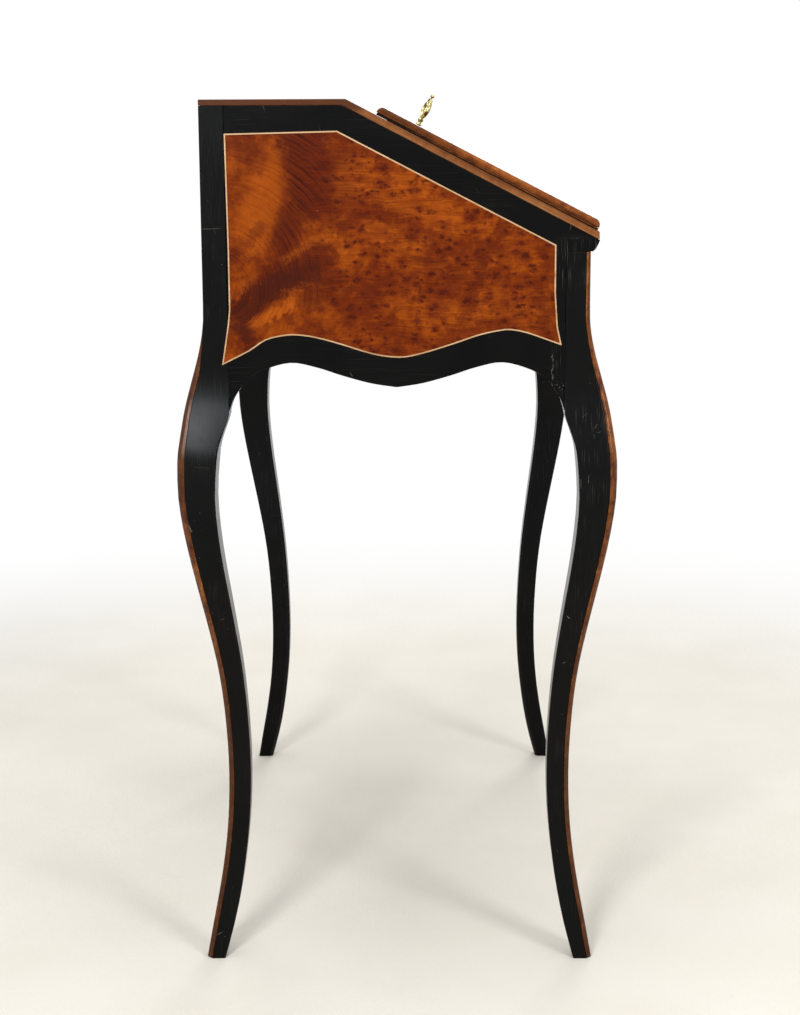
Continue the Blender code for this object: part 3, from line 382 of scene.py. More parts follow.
def burl(name, plane_of, drawn):
    """Polished burl veneer: clouded orange brown, growth lines, dark streams and clustered eyes.

    The streams are the drawn ones of the side panels, or else drift as a noise has them."""
    g = Graph(name, {"Specular IOR Level": 0.085})
    flat = plane_of(g)
    plane = g.warp(g.warp(flat, 16.0, 0.014), 75.0, 0.0050, 3.0)
    ragged = g.math("MULTIPLY", g.math("SUBTRACT", g.noise(flat, 120.0, 5.0, 0.75), 0.5), 0.034)
    along, up, _ = g.parts(plane)
    calm = g.step(g.math("ADD", along, g.math("MULTIPLY", g.noise(flat, 20.0), 0.05)), -0.080, -0.020)
    if drawn:
        dark = streams(g, plane, ragged, DARK_STREAMS)
        light = streams(g, plane, ragged, LIGHT_LENSES)
    else:
        drift = g.noise(g.vector("MULTIPLY", plane, (1.0, 1.6, 1.0)), 8.5, 3.0, 0.55, 0.8)
        torn = g.math("ADD", drift, g.math("MULTIPLY", ragged, 3.0))
        dark = g.math("MULTIPLY", g.step(torn, 0.52, 0.60), 0.9)
        light = g.math("MULTIPLY", g.step(torn, 0.46, 0.36), 0.8)
    # Growth lines: rings round a point at the back, and level streaks further forward.
    ring = g.vector("DISTANCE", plane, (-0.185, 0.740, 0.0))
    rings = g.noise(g.joined(g.math("MULTIPLY", ring, 760.0), g.math("MULTIPLY", up, 16.0)), 1.0, 2.0, 0.5)
    rings = g.math("ADD", 0.5, g.math("MULTIPLY", g.math("SUBTRACT", rings, 0.5), 0.62))
    levels = g.noise(g.joined(g.math("MULTIPLY", along, 22.0), g.math("MULTIPLY", up, 430.0)), 1.0, 3.0, 0.6)
    streaks = g.blend(calm, rings, levels)
    clouds = g.noise(plane, 24.0, 4.0, 0.50)
    mottle = g.noise(plane, 110.0, 3.0, 0.60)
    value = g.math("ADD", g.math("MULTIPLY", clouds, 0.42), g.math("MULTIPLY", streaks, 0.24))
    value = g.math("ADD", g.math("ADD", value, 0.085), g.math("MULTIPLY", mottle, 0.30))
    ground = g.ramp(
        value,
        (
            (0.42, (0.062, 0.0050, 0.0002)),
            (0.53, (0.126, 0.0180, 0.0003)),
            (0.62, (0.212, 0.0375, 0.0008)),
            (0.76, (0.325, 0.0720, 0.0060)),
        ),
    )
    pale = g.ramp(streaks, ((0.35, (0.200, 0.0340, 0.0006)), (0.65, (0.350, 0.0740, 0.0045))))
    deep = g.ramp(streaks, ((0.41, (0.034, 0.0026, 0.0003)), (0.60, (0.100, 0.0120, 0.0005))))
    colour = g.mix(light, ground, pale)
    colour = g.mix(dark, colour, deep)
    if drawn:
        colour = g.mix(streams(g, plane, ragged, DEEPEST), colour, (0.034, 0.0048, 0.0016))
    # Eyes: small ragged dark knots with a duller rim, thick in some places and missing in others.
    spread = g.step(g.noise(flat, 30.0, 3.0, 0.6), 0.28, 0.44)
    spread = g.math("MULTIPLY", spread, g.math("ADD", 0.10, g.math("MULTIPLY", calm, 0.90)))
    squat = g.vector("MULTIPLY", g.warp(g.warp(flat, 60.0, 0.010), 330.0, 0.0052, 3.0), (0.75, 1.2, 1.0))
    torn = g.math("MULTIPLY", g.math("SUBTRACT", g.noise(flat, 420.0, 3.0, 0.7), 0.5), 0.50)
    for scale, size, number, strength in EYES:
        cell = g.cells(squat, scale)
        chosen = g.step(g.parts(cell["Color"])[0], 0.95 - number, 1.05 - number)
        chosen = g.math("MULTIPLY", chosen, spread)
        away = g.math("ADD", cell["Distance"], torn)
        rim = g.math("MULTIPLY", g.step(away, size * 2.6, size * 1.0), chosen)
        core = g.math("MULTIPLY", g.step(away, size * 1.35, size * 0.30), chosen)
        colour = g.mix(g.math("MULTIPLY", rim, 0.56 * strength), colour, (0.104, 0.0120, 0.0004))
        colour = g.mix(g.math("MULTIPLY", core, strength), colour, (0.044, 0.0040, 0.0004))
    # Hairline checks in the polish.
    checks = g.vector("MULTIPLY", g.warp(flat, 30.0, 0.02), (0.10, 1.0, 1.0))
    check = g.step(g.noise(checks, 330.0, 1.0, 0.3), 0.775, 0.80)
    check = g.math("MULTIPLY", check, g.step(g.noise(flat, 15.0, 2.0), 0.55, 0.66))
    colour = g.mix(g.math("MULTIPLY", check, 0.35), colour, (0.42, 0.20, 0.09))
    rough = g.math("ADD", 0.14, g.math("MULTIPLY", g.noise(flat, 55.0, 4.0, 0.6), 0.13))
    waves = g.math("MULTIPLY", g.noise(flat, 9.0, 2.0), 3.0)
    height = g.math("ADD", waves, g.math("MULTIPLY", streaks, 0.12))
    return g.finish(colour, rough, height, 0.00018)


# Planes on which the burl is drawn. Those with a match at the middle lie at depths of their own in the noise.
TOP_DEPTH, LID_DEPTH, DRAWER_DEPTH = 1.7, 5.2, 9.4


def side_plane(g):
    _, y, z = g.parts(g.place)
    return g.joined(g.math("MULTIPLY", y, -1.0), z)


def top_plane(g):
    x, y, _ = g.parts(g.place)
    return g.joined(g.math("ABSOLUTE", x), y, TOP_DEPTH)


def lid_plane(g):
    x, y, _ = g.parts(g.turned(g.place, -SLOPE))
    return g.joined(g.math("ABSOLUTE", x), y, LID_DEPTH)


def drawer_plane(g):
    x, _, z = g.parts(g.place)
    return g.joined(g.math("ABSOLUTE", x), z, DRAWER_DEPTH)


def fine_wood(name, along, stops, rough, shine, tilt=0.0, spread=240.0, figure=0.0, darker=None, knees=False):
    """Polished or bare wood: streaks of several widths along the grain, pores, and a mottled figure if any.

    Darker gives the heights between which it darkens, and by how much."""
    g = Graph(name, {"Specular IOR Level": shine})
    base = g.turned(g.place, -tilt) if tilt else g.place
    bent = g.warp(base, 6.0, 0.006)
    grain = g.vector("MULTIPLY", bent, AXIS_SCALES[along])
    wide = g.noise(grain, spread * 0.30, 3.0, 0.55)
    narrow = g.noise(grain, spread * 1.6, 4.0, 0.6)
    value = g.math("ADD", g.math("MULTIPLY", wide, 0.62), g.math("MULTIPLY", narrow, 0.38))
    if figure:
        mottle = g.math("SUBTRACT", g.noise(g.warp(base, 40.0, 0.02), 95.0, 4.0, 0.7), 0.5)
        value = g.math("ADD", value, g.math("MULTIPLY", mottle, figure))
    pores = g.step(g.noise(grain, spread * 6.0, 2.0, 0.4), 0.66, 0.76)
    dirt = g.step(g.noise(base, 26.0, 4.0, 0.6), 0.52, 0.78)
    colour = g.ramp(value, stops)
    dark = stops[0][1]
    colour = g.mix(g.math("MULTIPLY", pores, 0.45), colour, tuple(part * 0.45 for part in dark))
    colour = g.mix(g.math("MULTIPLY", dirt, 0.35), colour, tuple(part * 0.7 for part in dark))
    if darker:
        start, end, amount = darker
        _, y, z = g.parts(g.place)
        deep = g.math("MULTIPLY", g.step(z, start, end), amount)
        colour = g.mix(deep, colour, tuple(part * 0.9 for part in dark))
        if knees:
            # The back knees are darker than the front ones.
            knee = g.math("MULTIPLY", g.step(z, 0.44, 0.56), g.step(y, 0.0, 0.1))
            colour = g.mix(g.math("MULTIPLY", knee, 0.62), colour, dark)
    roughness = g.math("ADD", rough, g.math("MULTIPLY", g.noise(base, 60.0, 4.0, 0.6), 0.14))
    height = g.math("SUBTRACT", g.math("MULTIPLY", narrow, 0.5), pores)
    return g.finish(colour, roughness, height, 0.00006)


EDGING = (
    (0.32, (0.030, 0.0074, 0.0014)),
    (0.46, (0.100, 0.0270, 0.0044)),
    (0.58, (0.185, 0.0580, 0.0110)),
    (0.74, (0.350, 0.1320, 0.0330)),
)
LID_EDGE = (
    (0.32, (0.026, 0.0056, 0.0010)),
    (0.46, (0.094, 0.0220, 0.0030)),
    (0.58, (0.190, 0.0500, 0.0070)),
    (0.74, (0.340, 0.1080, 0.0190)),
)
SLOPE_EDGE = (
    (0.34, (0.070, 0.0200, 0.0050)),
    (0.48, (0.150, 0.0500, 0.0140)),
    (0.58, (0.235, 0.0900, 0.0290)),
    (0.74, (0.350, 0.1550, 0.0600)),
)
BOXWOOD = (
    (0.30, (0.325, 0.1700, 0.0720)),
    (0.50, (0.480, 0.3000, 0.1600)),
    (0.72, (0.580, 0.4100, 0.2550)),
)
INSIDE = (
    (0.32, (0.120, 0.0400, 0.0130)),
    (0.50, (0.225, 0.0840, 0.0280)),
    (0.70, (0.330, 0.1400, 0.0520)),
)
BARE = (
    (0.32, (0.330, 0.1950, 0.0900)),
    (0.50, (0.460, 0.3000, 0.1550)),
    (0.70, (0.580, 0.4100, 0.2400)),
)


def brass(name):
    """Gilt brass, a little dulled, with brown tarnish in patches."""
    g = Graph(name, {"Metallic": 1.0})
    cast = g.noise(g.place, 420.0, 4.0, 0.6)
    tarnish = g.step(g.noise(g.place, 160.0, 4.0, 0.65), 0.52, 0.76)
    colour = g.ramp(cast, ((0.30, (0.22, 0.19, 0.075)), (0.70, (0.54, 0.47, 0.22))))
    colour = g.mix(g.math("MULTIPLY", tarnish, 0.75), colour, (0.055, 0.048, 0.022))
    rough = g.math("ADD", 0.19, g.math("MULTIPLY", g.math("ADD", tarnish, cast), 0.14))
    return g.finish(colour, rough, cast, 0.00004)


def steel(name):
    """Old filed steel with brown spots."""
    g = Graph(name, {"Metallic": 1.0})
    filed = g.noise(g.vector("MULTIPLY", g.place, AXIS_SCALES["x"]), 900.0, 3.0, 0.6)
    rust = g.step(g.noise(g.place, 130.0, 5.0, 0.65), 0.56, 0.72)
    colour = g.ramp(filed, ((0.3, (0.17, 0.165, 0.16)), (0.7, (0.33, 0.32, 0.31))))
    colour = g.mix(g.math("MULTIPLY", rust, 0.7), colour, (0.12, 0.062, 0.034))
    rough = g.math("ADD", 0.30, g.math("MULTIPLY", g.math("ADD", rust, filed), 0.18))
    return g.finish(colour, rough, filed, 0.00003)


def skiver(name):
    """Thin goatskin: pebbled grain, darker in the hollows and rubbed where arms lie."""
    g = Graph(name, {"Specular IOR Level": 0.14})
    base = g.warp(g.place, 220.0, 0.0016)
    pebble = g.cells(base, 950.0, "SMOOTH_F1")["Distance"]
    pores = g.noise(g.place, 2200.0, 2.0, 0.5)
    rubbed = g.step(g.noise(g.place, 7.0, 4.0, 0.6), 0.42, 0.66)
    hollow = g.step(pebble, 0.28, 0.62)
    stain = g.noise(g.place, 34.0, 5.0, 0.6)
    colour = g.ramp(stain, ((0.3, (0.058, 0.011, 0.007)), (0.7, (0.112, 0.023, 0.014))))
    colour = g.mix(g.math("MULTIPLY", rubbed, 0.35), colour, (0.175, 0.050, 0.027))
    colour = g.mix(g.math("MULTIPLY", hollow, 0.5), colour, (0.036, 0.008, 0.006))
    rough = g.math("SUBTRACT", 0.62, g.math("MULTIPLY", rubbed, 0.16))
    height = g.math("SUBTRACT", g.math("MULTIPLY", pores, 0.25), pebble)
    return g.finish(colour, rough, height, 0.00016)


BLACK_UPRIGHT = ebonised("ebonised_upright", "z")
BLACK_SIDE = ebonised("ebonised_side", "side")
BLACK_ACROSS = ebonised("ebonised_across", "x")
BLACK_LID = ebonised("ebonised_lid", "x", True)
BURL_SIDE = burl("burl_side", side_plane, True)
BURL_TOP = burl("burl_top", top_plane, False)
BURL_LID = burl("burl_lid", lid_plane, False)
BURL_DRAWER = burl("burl_drawer", drawer_plane, False)
STRING = fine_wood("boxwood_string", "y", BOXWOOD, 0.26, 0.25, spread=300.0)
EDGE_SPREAD = 420.0
EDGE_UPRIGHT = fine_wood(
    "edging_upright", "z", EDGING, 0.12, 0.16,
    spread=EDGE_SPREAD, figure=0.55, darker=(0.46, 0.26, 0.64), knees=True,
)
# Its level top, above the slope, is darkened: painted shade against the light that falls on it from above.
EDGE_SLOPED = fine_wood(
    "edging_sloped", "y", SLOPE_EDGE, 0.20, 0.11,
    tilt=SLOPE, spread=EDGE_SPREAD, figure=0.30, darker=(0.915, 0.922, 0.95),
)
LID_EDGING = fine_wood(
    "lid_edging", "y", LID_EDGE, 0.18, 0.10,
    tilt=SLOPE, spread=EDGE_SPREAD, figure=0.55, darker=(0.855, 0.910, 0.70),
)
INNER_WOOD = fine_wood("inside_wood", "x", INSIDE, 0.34, 0.30)
DRAWER_WOOD = fine_wood("drawer_wood", "y", BARE, 0.52, 0.25)
DRAWER_ACROSS = fine_wood("drawer_wood_across", "x", BARE, 0.52, 0.25)
GILT = brass("gilt_brass")
STEEL = steel("lock_steel")
LEATHER = skiver("leather")


BURLS = {"top_burl": BURL_TOP, "lid_burl": BURL_LID, "drawer_burl": BURL_DRAWER}
# The finish of the other nodes, by the start of the name. The first that fits counts.
FINISHES = (
    ("corner_edging", EDGE_UPRIGHT),
    ("slope_edging", EDGE_SLOPED),
    ("leg_", BLACK_UPRIGHT),
    ("side_", BLACK_SIDE),
    ("lid_moulding", LID_EDGING),
    ("lid_board", BLACK_LID),
    ("lid_escutcheon", GILT),
    ("lid_lock", STEEL),
    ("lid_leather", LEATHER),
    ("hinge_", GILT),
    ("key", GILT),
    ("lock_bolt", GILT),
    ("strike_plate", GILT),
    ("drawer_escutcheon", GILT),
    ("drawer_side", DRAWER_WOOD),
    ("drawer_runner", DRAWER_WOOD),
    ("drawer_back", DRAWER_ACROSS),
    ("drawer_bottom", DRAWER_ACROSS),
    ("nest_knob", GILT),
    ("nest_", INNER_WOOD),
    ("writing_floor", INNER_WOOD),
)


def surface_of(node):
    """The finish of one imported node, by its name."""
    if node.endswith("_burl"):
        return BURLS.get(node, BURL_SIDE)
    if node.endswith("_stringing"):
        return STRING
    return next((finish for start, finish in FINISHES if node.startswith(start)), BLACK_ACROSS)


JOIN_DISTANCE = 0.00001
SHARP_ANGLE = math.radians(30)


def even_shading():
    """A modifier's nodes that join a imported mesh's triangles and drop its faceted normals."""
    group = bpy.data.node_groups.new("even_shading", "GeometryNodeTree")
    group.interface.new_socket("Mesh", in_out="INPUT", socket_type="NodeSocketGeometry")
    group.interface.new_socket("Mesh", in_out="OUTPUT", socket_type="NodeSocketGeometry")
    start = group.nodes.new("NodeGroupInput")
    end = group.nodes.new("NodeGroupOutput")
    weld = group.nodes.new("GeometryNodeMergeByDistance")
    weld.inputs["Distance"].default_value = JOIN_DISTANCE
    normal = group.nodes.new("GeometryNodeSetMeshNormal")
    normal.inputs["Remove Custom"].default_value = True
    normal.inputs["Face Sharpness"].default_value = False
    angle = group.nodes.new("GeometryNodeInputMeshEdgeAngle")
    sharp = group.nodes.new("FunctionNodeCompare")
    sharp.operation = "GREATER_THAN"
    sharp.inputs[1].default_value = SHARP_ANGLE
    group.links.new(angle.outputs["Unsigned Angle"], sharp.inputs[0])
    group.links.new(sharp.outputs[0], normal.inputs["Edge Sharpness"])
    group.links.new(start.outputs[0], weld.inputs[0])
    group.links.new(weld.outputs[0], normal.inputs[0])
    group.links.new(normal.outputs[0], end.inputs[0])
    return group


EVEN = even_shading()
# The rounding of a piece's edges, by the start of its name. The sides meet legs and edgings flush.
ROUNDED = {
    "side_": 0.0,
    "corner_edging": 0.0009,
    "leg_": 0.0006,
    "nest_": 0.0005,
    "hinge_": 0.0002,
    "drawer_side": 0.0006,
}
PLAIN_ROUNDING = 0.0004
ROUNDED_ANGLE = math.radians(28)
FLUSH = ("_burl", "_stringing")
FLAT_ANGLE = math.radians(0.2)
CLOSE_DISTANCE = 0.000001


def soften(node, thing):
    """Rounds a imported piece's edges a little and shades its curves smoothly."""
    join = thing.modifiers.new("join", "NODES")
    join.node_group = EVEN
    flat = thing.modifiers.new("flat", "DECIMATE")
    flat.decimate_type = "DISSOLVE"
    flat.angle_limit = FLAT_ANGLE
    width = next((size for start, size in ROUNDED.items() if node.startswith(start)), PLAIN_ROUNDING)
    if width > 0 and not node.endswith(FLUSH):
        rounding = thing.modifiers.new("round", "BEVEL")
        rounding.width = width
        rounding.segments = 2
        rounding.limit_method = "ANGLE"
        rounding.angle_limit = ROUNDED_ANGLE
        # Corners that the rounding draws together to a point are closed.
        close = thing.modifiers.new("close", "WELD")
        close.merge_threshold = CLOSE_DISTANCE
    shade = thing.modifiers.new("shade", "WEIGHTED_NORMAL")
    shade.weight = 80
    shade.keep_sharp = True


for name, thing in NODES.items():
    thing.data.materials.clear()
    thing.data.materials.append(surface_of(name))
    soften(name, thing)


def piece(name, bm, surface, body, smooth=True):
    """A new piece on a body, with its finish."""
    bmesh.ops.recalc_face_normals(bm, faces=bm.faces)
    mesh = bpy.data.meshes.new(name)
    bm.to_mesh(mesh)
    bm.free()
    if smooth:
        mesh.shade_smooth()
        mesh.set_sharp_from_angle(angle=math.radians(38))
    made = bpy.data.objects.new(name, mesh)
    bpy.context.scene.collection.objects.link(made)
    mesh.materials.append(surface)
    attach(made, body)
    return made


def skin(bm, rings, capped=True):
    """Faces over rings of points, added to a bmesh."""
    rows = [[bm.verts.new(point) for point in ring] for ring in rings]
    for low, high in zip(rows, rows[1:]):
        for i in range(len(low)):
            j = (i + 1) % len(low)
            bm.faces.new((low[i], low[j], high[j], high[i]))
    if capped:
        bm.faces.new(rows[0])
        bm.faces.new(rows[-1])


def circle(count):
    """Points evenly round the unit circle."""
    return [(math.cos(2 * math.pi * i / count), math.sin(2 * math.pi * i / count)) for i in range(count)]


def curve_through(points, steps):
    """A smooth line through points, steps to a span."""
    found = []
    last = len(points) - 1
    for i in range(last):
        a, b = points[max(i - 1, 0)], points[i]
        c, d = points[i + 1], points[min(i + 2, last)]
        for k in range(steps):
            t = k / steps
            row = []
            for p, q, r, s in zip(a, b, c, d):
                square = (2 * p - 5 * q + 4 * r - s) * t**2
                cube = (3 * q - p - 3 * r + s) * t**3
                row.append((2 * q + (r - p) * t + square + cube) / 2)
            found.append(tuple(row))
    found.append(tuple(points[-1]))
    return found


MM = 1000  # millimetres to the metre
SCROLL_DEPTH = 1.45


def scroll(bm, points, place, mirror):
    """A tapering bar along (across, out, radius) points in millimetres, deeper than wide."""
    line = curve_through(points, 5)
    rings = []
    for i, (across, out, radius) in enumerate(line):
        before, after = line[max(i - 1, 0)], line[min(i + 1, len(line) - 1)]
        run = Vector((after[0] - before[0], after[1] - before[1])).normalized()
        ring = []
        for c, s in circle(10):
            x = mirror * (across - run.y * c * radius) / MM
            z = (out + run.x * c * radius) / MM
            ring.append(place @ Vector((x, s * radius * SCROLL_DEPTH / MM, z)))
        rings.append(ring)
    skin(bm, rings)


def bead(bm, centre, radius, place, depth=1.0):
    """A small ball, centre and radius in millimetres."""
    rings = []
    for k in range(1, 8):
        angle = math.pi * k / 8
        ring = []
        for c, s in circle(12):
            x = centre[0] + radius * math.sin(angle) * c
            y = radius * math.sin(angle) * s * depth
            z = centre[1] - radius * math.cos(angle)
            ring.append(place @ Vector((x / MM, y / MM, z / MM)))
        rings.append(ring)
    skin(bm, rings)


# The key: a turned shank (radius, distance out), an openwork bow of paired scrolls (across, out, radius),
# a finial and a bit.
KEY_TURN = math.radians(13)
across_key = Vector((math.cos(KEY_TURN), 0, 0)) + math.sin(KEY_TURN) * UPWARD
KEY_FRAME = frame_at(KEY_PLACE, across_key, OUTWARD.cross(across_key), OUTWARD)
SHANK = (
    (1.4, -6.2),
    (2.2, -5.5),
    (2.2, 12.0),
    (3.2, 12.5),
    (3.6, 13.3),
    (3.2, 14.2),
    (2.4, 14.9),
    (2.2, 16.4),
    (2.8, 17.8),
    (3.4, 18.7),
    (3.4, 19.6),
    (2.6, 20.6),
    (1.7, 22.0),
    (1.3, 25.0),
    (1.5, 28.0),
    (2.1, 31.0),
    (1.4, 34.0),
    (1.1, 38.0),
    (1.3, 43.0),
    (1.0, 47.0),
)
OUTER_SCROLL = (
    (1.2, 21.8, 1.1),
    (5.2, 23.6, 1.3),
    (9.6, 27.0, 1.5),
    (11.6, 32.0, 1.6),
    (10.6, 37.6, 1.5),
    (7.0, 41.2, 1.3),
    (3.6, 39.8, 1.1),
    (3.6, 36.8, 1.0),
    (5.8, 36.4, 0.9),
    (6.6, 38.0, 0.9),
)
INNER_SCROLL = (
    (1.0, 24.6, 0.8),
    (4.4, 26.8, 0.9),
    (7.2, 30.2, 1.0),
    (6.6, 33.4, 0.9),
    (4.2, 33.2, 0.8),
    (4.4, 31.0, 0.8),
)
CROWN_SCROLL = (
    (7.4, 41.0, 0.8),
    (6.6, 44.4, 0.9),
    (3.4, 46.2, 0.9),
    (0.6, 46.8, 0.8),
)
# Beads of the bow: across, out, radius, and how much deeper than wide.
BEADS = (
    (6.0, 37.6, 1.7, 1.0),
    (5.4, 31.6, 1.3, 1.0),
    (11.9, 32.0, 1.5, 1.3),
    (8.6, 41.6, 1.3, 1.3),
)
FINIAL, FINIAL_RADIUS = (0.0, 49.9), 2.4
BIT = ((-1.0, -6.6), (1.0, -6.6), (1.0, -1.6), (-1.0, -1.6))
BIT_ENDS = (-3.4, -1.2)
bm = bmesh.new()
rings = []
for radius, out in SHANK:
    rings.append([KEY_FRAME @ Vector((radius * c / MM, radius * s / MM, out / MM)) for c, s in circle(24)])
skin(bm, rings)
for mirror in (-1, 1):
    for line in (OUTER_SCROLL, INNER_SCROLL, CROWN_SCROLL):
        scroll(bm, line, KEY_FRAME, mirror)
    for across, out, radius, depth in BEADS:
        bead(bm, (mirror * across, out), radius, KEY_FRAME, depth)
bead(bm, FINIAL, FINIAL_RADIUS, KEY_FRAME)
skin(bm, [[KEY_FRAME @ Vector((x / MM, y / MM, z / MM)) for x, y in BIT] for z in BIT_ENDS])
key = piece("gilt_key", bm, GILT, "key")
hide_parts("key")


def local_box(node, place):
    """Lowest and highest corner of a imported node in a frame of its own."""
    back = place.inverted()
    points = [back @ vertex.co for vertex in NODES[node].data.vertices]
    low = Vector([min(point[i] for point in points) for i in range(3)])
    high = Vector([max(point[i] for point in points) for i in range(3)])
    return low, high


# The writing leather: a skin that dips a little at its pasted edge, with gilt lines tooled round it.
low, high = local_box("lid_leather", LID_FRAME)
COLUMNS, ROWS = 56, 24
FACE_DEPTH = 0.00014  # of the skin's face below the solid's
EDGE_DIP, EDGE_WIDTH = 0.00045, 0.004
RIPPLE = 0.00006
bm = bmesh.new()
upper, lower = [], []
for j in range(ROWS + 1):
    for i in range(COLUMNS + 1):
        x = low.x + (high.x - low.x) * i / COLUMNS
        y = low.y + (high.y - low.y) * j / ROWS
        inside = min(x - low.x, high.x - x, y - low.y, high.y - y)
        dip = EDGE_DIP * max(0.0, 1 - inside / EDGE_WIDTH) ** 2
        ripple = RIPPLE * (math.sin(x * 61 + 2 * math.sin(y * 37)) + math.sin(y * 83 + x * 19))
        upper.append(bm.verts.new(LID_FRAME @ Vector((x, y, low.z + FACE_DEPTH + dip + ripple))))
        lower.append(bm.verts.new(LID_FRAME @ Vector((x, y, high.z))))
wide = COLUMNS + 1
for j in range(ROWS):
    for i in range(COLUMNS):
        corner = j * wide + i
        for layer in (upper, lower):
            bm.faces.new((layer[corner], layer[corner + 1], layer[corner + wide + 1], layer[corner + wide]))
rim = list(range(COLUMNS))
rim += [COLUMNS + j * wide for j in range(ROWS)]
rim += [ROWS * wide + i for i in range(COLUMNS, 0, -1)]
rim += [j * wide for j in range(ROWS, 0, -1)]
for a, b in zip(rim, rim[1:] + rim[:1]):
    bm.faces.new((upper[a], upper[b], lower[b], lower[a]))
leather = piece("writing_leather", bm, LEATHER, "lid")
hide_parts("lid_leather")


def band(bm, low, high, section):
    """A closed band round the outline of a box on the lid; section has (margin, height) corners."""
    rings = []
    for margin, height in section:
        corners = (
            (low.x + margin, low.y + margin),
            (high.x - margin, low.y + margin),
            (high.x - margin, high.y - margin),
            (low.x + margin, high.y - margin),
        )
        rings.append([LID_FRAME @ Vector((x, y, low.z + height)) for x, y in corners])
    skin(bm, rings + rings[:1], capped=False)


# Gilt lines on the leather: margin and width, and the heights of their root in it and their face on it.
TOOLED = ((0.0080, 0.0010), (0.0106, 0.0004), (0.0150, 0.0004))
ROOT, FACE = 0.0002, -0.00004
bm = bmesh.new()
for outer, width in TOOLED:
    inner = outer + width
    band(bm, low, high, ((outer, ROOT), (outer, FACE), (inner, FACE), (inner, ROOT)))
bmesh.ops.remove_doubles(bm, verts=bm.verts, dist=CLOSE_DISTANCE)
piece("leather_tooling", bm, GILT, "lid", smooth=False)

# A dark band just under the moulding round the lid: painted shadow, standing in for the shade in the gap
# between the lid and the moulding.
SHADOW_GAP_BAND = ((0.0016, -0.0004), (0.0016, 0.0001), (0.0080, 0.0001), (0.0080, -0.0004))
low, high = local_box("lid_moulding", LID_FRAME)
bm = bmesh.new()
band(bm, low, high, SHADOW_GAP_BAND)
bmesh.ops.remove_doubles(bm, verts=bm.verts, dist=CLOSE_DISTANCE)
piece("lid_painted_shadow_gap", bm, BLACK_ACROSS, "lid", smooth=False)


# Thin black strips glued along the slopes of the sides, on which the closed lid rests.
STRIP_START, STRIP_END = 0.0010, 0.246
STRIP_HIGH = 0.00029
STRIP_SECTION = (
    (0.3240, -0.00002),
    (0.3240, 0.00018),
    (0.3246, STRIP_HIGH),
    (0.3304, STRIP_HIGH),
    (0.3310, -0.00002),
)
for word, mirror in (("left", -1), ("right", 1)):
    bm = bmesh.new()
    rings = []
    for y in (STRIP_START, STRIP_END):
        rings.append([LID_FRAME @ Vector((mirror * x, y, z)) for x, z in STRIP_SECTION])
    skin(bm, rings)
    piece("lid_rest_" + word, bm, BLACK_ACROSS, "carcass", smooth=False)


# A screw head's section (share of the radius, rise above the plate) and half the width of its slot.
SCREW_SECTION = ((1.0, -0.00030), (1.0, 0.00004), (0.80, 0.00016), (0.10, 0.00022))
SLOT_HALF = 0.00016


def screws(name, place, spots, radius, body, surface):
    """Slotted screw heads standing a hair above a plate whose face looks along the frame's third axis."""
    bm = bmesh.new()
    for number, (x, y, z) in enumerate(spots):
        turn = 0.6 + 1.3 * number
        for half in (0, math.pi):
            rings = []
            for share, rise in SCREW_SECTION:
                ring = []
                for k in range(13):
                    angle = half + math.pi * k / 12
                    a = share * radius * math.cos(angle)
                    b = share * (radius - SLOT_HALF) * math.sin(angle)
                    b += math.copysign(SLOT_HALF, math.sin(half + 1.5))
                    u = a * math.cos(turn) - b * math.sin(turn)
                    v = a * math.sin(turn) + b * math.cos(turn)
                    ring.append(place @ Vector((x + u, y + v, z + rise)))
                rings.append(ring)
            skin(bm, rings)
    return piece(name, bm, surface, body)


# Screws in the lock and the hinges. Their frames look out of the face that shows when the lid is open.
UNDER_FRAME = frame_at(HINGE, Vector((-1, 0, 0)), UPWARD, -OUTWARD)
LEVEL_FRAME = Matrix.Translation(HINGE)
LOCK_INSET, LOCK_SCREW = 0.005, 0.0021
HINGE_INSET, HINGE_SCREW = 0.0055, 0.0018
HINGE_STEPS = (-0.012, 0.0, 0.012)
# A hinge leaf's name, its body, its frame and the height of its face there.
LEAVES = (
    ("lid", "lid", UNDER_FRAME, -0.0004),
    ("fixed", "carcass", LEVEL_FRAME, -0.0006),
)
low, high = local_box("lid_lock", UNDER_FRAME)
spots = []
for x in (low.x + LOCK_INSET, high.x - LOCK_INSET):
    for y in (low.y + LOCK_INSET, high.y - LOCK_INSET):
        spots.append((x, y, high.z))
screws("lock_screws", UNDER_FRAME, spots, LOCK_SCREW, "lid", STEEL)
for word in ("left", "right"):
    for leaf, body, place, face in LEAVES:
        low, high = local_box(f"hinge_{leaf}_{word}", place)
        middle = (low.x + high.x) / 2
        spots = [(middle + step, high.y - HINGE_INSET, face) for step in HINGE_STEPS]
        screws(f"hinge_screws_{leaf}_{word}", place, spots, HINGE_SCREW, body, GILT)


# The camera, at the photograph's place.
heading = math.cos(CAMERA_TILT) * Vector((math.cos(CAMERA_YAW), math.sin(CAMERA_YAW), 0))
heading.z = -math.sin(CAMERA_TILT)
level = Vector((math.sin(CAMERA_YAW), -math.cos(CAMERA_YAW), 0))
rise = level.cross(heading)
rolled = math.cos(CAMERA_ROLL) * level + math.sin(CAMERA_ROLL) * rise
risen = math.cos(CAMERA_ROLL) * rise - math.sin(CAMERA_ROLL) * level
camera = bpy.data.objects.new("camera", bpy.data.cameras.new("camera"))
camera.data.sensor_width = SENSOR
camera.data.lens = FOCAL_PIXELS * SENSOR / IMAGE_HEIGHT
camera.matrix_world = frame_at(Vector(CAMERA_PLACE), rolled, risen, -heading)
bpy.context.scene.collection.objects.link(camera)
bpy.context.scene.camera = camera


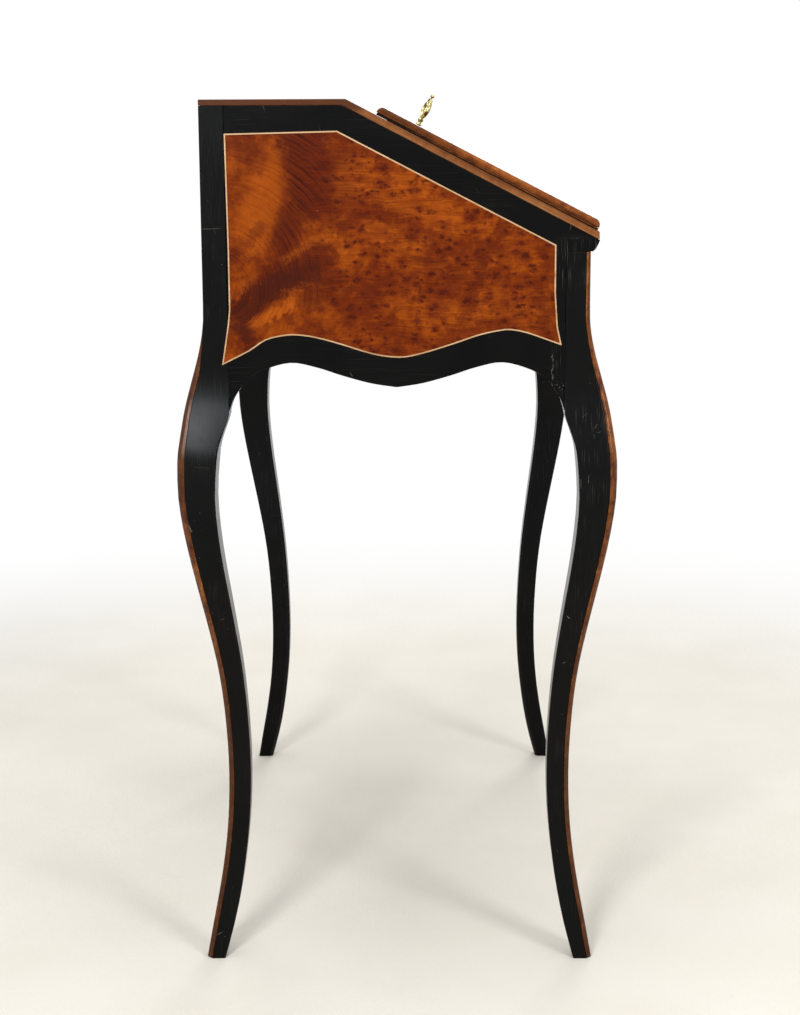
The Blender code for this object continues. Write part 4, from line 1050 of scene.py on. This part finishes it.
def seen_directly(tree):
    """1 for rays that show the background itself: from the camera, from a mirror or through glass."""
    path = tree.nodes.new("ShaderNodeLightPath")
    found = path.outputs["Is Camera Ray"]
    for name in ("Is Glossy Ray", "Is Transmission Ray"):
        either = tree.nodes.new("ShaderNodeMath")
        either.operation = "MAXIMUM"
        tree.links.new(found, either.inputs[0])
        tree.links.new(path.outputs[name], either.inputs[1])
        found = either.outputs[0]
    return found


# Studio: a white world, a pale floor that runs out into it, and soft lamps on all sides.
AMBIENT = 0.50
FLOOR_SIZE = 14.0
FADE_START, FADE_END = 0.75, 1.9  # the floor runs out into white between these distances
world = bpy.data.worlds.new("studio")
world.use_nodes = True
bpy.context.scene.world = world
tree = world.node_tree
ambient = tree.nodes["Background"]
ambient.inputs["Color"].default_value = (0.96, 0.98, 1.0, 1.0)
ambient.inputs["Strength"].default_value = AMBIENT
white = tree.nodes.new("ShaderNodeBackground")
white.inputs["Color"].default_value = (1.0, 1.0, 1.0, 1.0)
white.inputs["Strength"].default_value = 1.0
either = tree.nodes.new("ShaderNodeMixShader")
tree.links.new(seen_directly(tree), either.inputs[0])
tree.links.new(ambient.outputs[0], either.inputs[1])
tree.links.new(white.outputs[0], either.inputs[2])
tree.links.new(either.outputs[0], tree.nodes["World Output"].inputs["Surface"])

g = Graph("floor", {"Specular IOR Level": 0.1})
weave = g.noise(g.place, 260.0, 3.0, 0.6)
ground = g.ramp(g.noise(g.place, 5.0, 3.0), ((0.3, (0.66, 0.625, 0.555)), (0.7, (0.70, 0.665, 0.600))))
g.finish(ground, 0.9, weave, 0.0008)
tree = g.material.node_tree
glow = tree.nodes.new("ShaderNodeEmission")
glow.inputs["Color"].default_value = (1.0, 1.0, 1.0, 1.0)
far = g.step(g.vector("LENGTH", g.place), FADE_START, FADE_END)
fade = tree.nodes.new("ShaderNodeMixShader")
g.put(fade.inputs[0], g.math("MULTIPLY", far, seen_directly(tree)))
tree.links.new(g.shader.outputs[0], fade.inputs[1])
tree.links.new(glow.outputs[0], fade.inputs[2])
tree.links.new(fade.outputs[0], tree.nodes["Material Output"].inputs["Surface"])
bm = bmesh.new()
bmesh.ops.create_grid(bm, x_segments=8, y_segments=8, size=FLOOR_SIZE)
mesh = bpy.data.meshes.new("floor")
bm.to_mesh(mesh)
bm.free()
floor = bpy.data.objects.new("floor", mesh)
mesh.materials.append(g.material)
bpy.context.scene.collection.objects.link(floor)
floor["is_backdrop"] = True


def lamp(name, place, aim, size, power, colour=(1.0, 1.0, 1.0)):
    """A soft rectangular lamp turned towards a point."""
    data = bpy.data.lights.new(name, "AREA")
    data.color = colour
    data.shape = "RECTANGLE"
    data.size, data.size_y = size
    data.energy = power
    made = bpy.data.objects.new(name, data)
    made.location = place
    made.rotation_mode = "QUATERNION"
    made.rotation_quaternion = (Vector(aim) - Vector(place)).to_track_quat("-Z", "Y")
    bpy.context.scene.collection.objects.link(made)


AIM = (0.0, 0.0, 0.6)
BACK_KNEE = (-0.34, 0.2, 0.6)
lamp("lamp_back_left", (-2.35, 0.75, 1.95), AIM, (0.5, 0.9), 40)
lamp("lamp_front_left", (-2.0, -1.6, 1.7), AIM, (0.6, 0.9), 28)
lamp("lamp_left", (-2.5, 0.50, 1.36), BACK_KNEE, (0.35, 0.36), 6, (0.88, 0.95, 1.0))
lamp("lamp_right", (2.2, -0.5, 1.7), AIM, (1.0, 1.2), 26)
lamp("lamp_over", (0.0, 0.0, 2.7), AIM, (1.6, 1.6), 30)

bpy.context.scene.view_settings.view_transform = "Standard"

low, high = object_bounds()
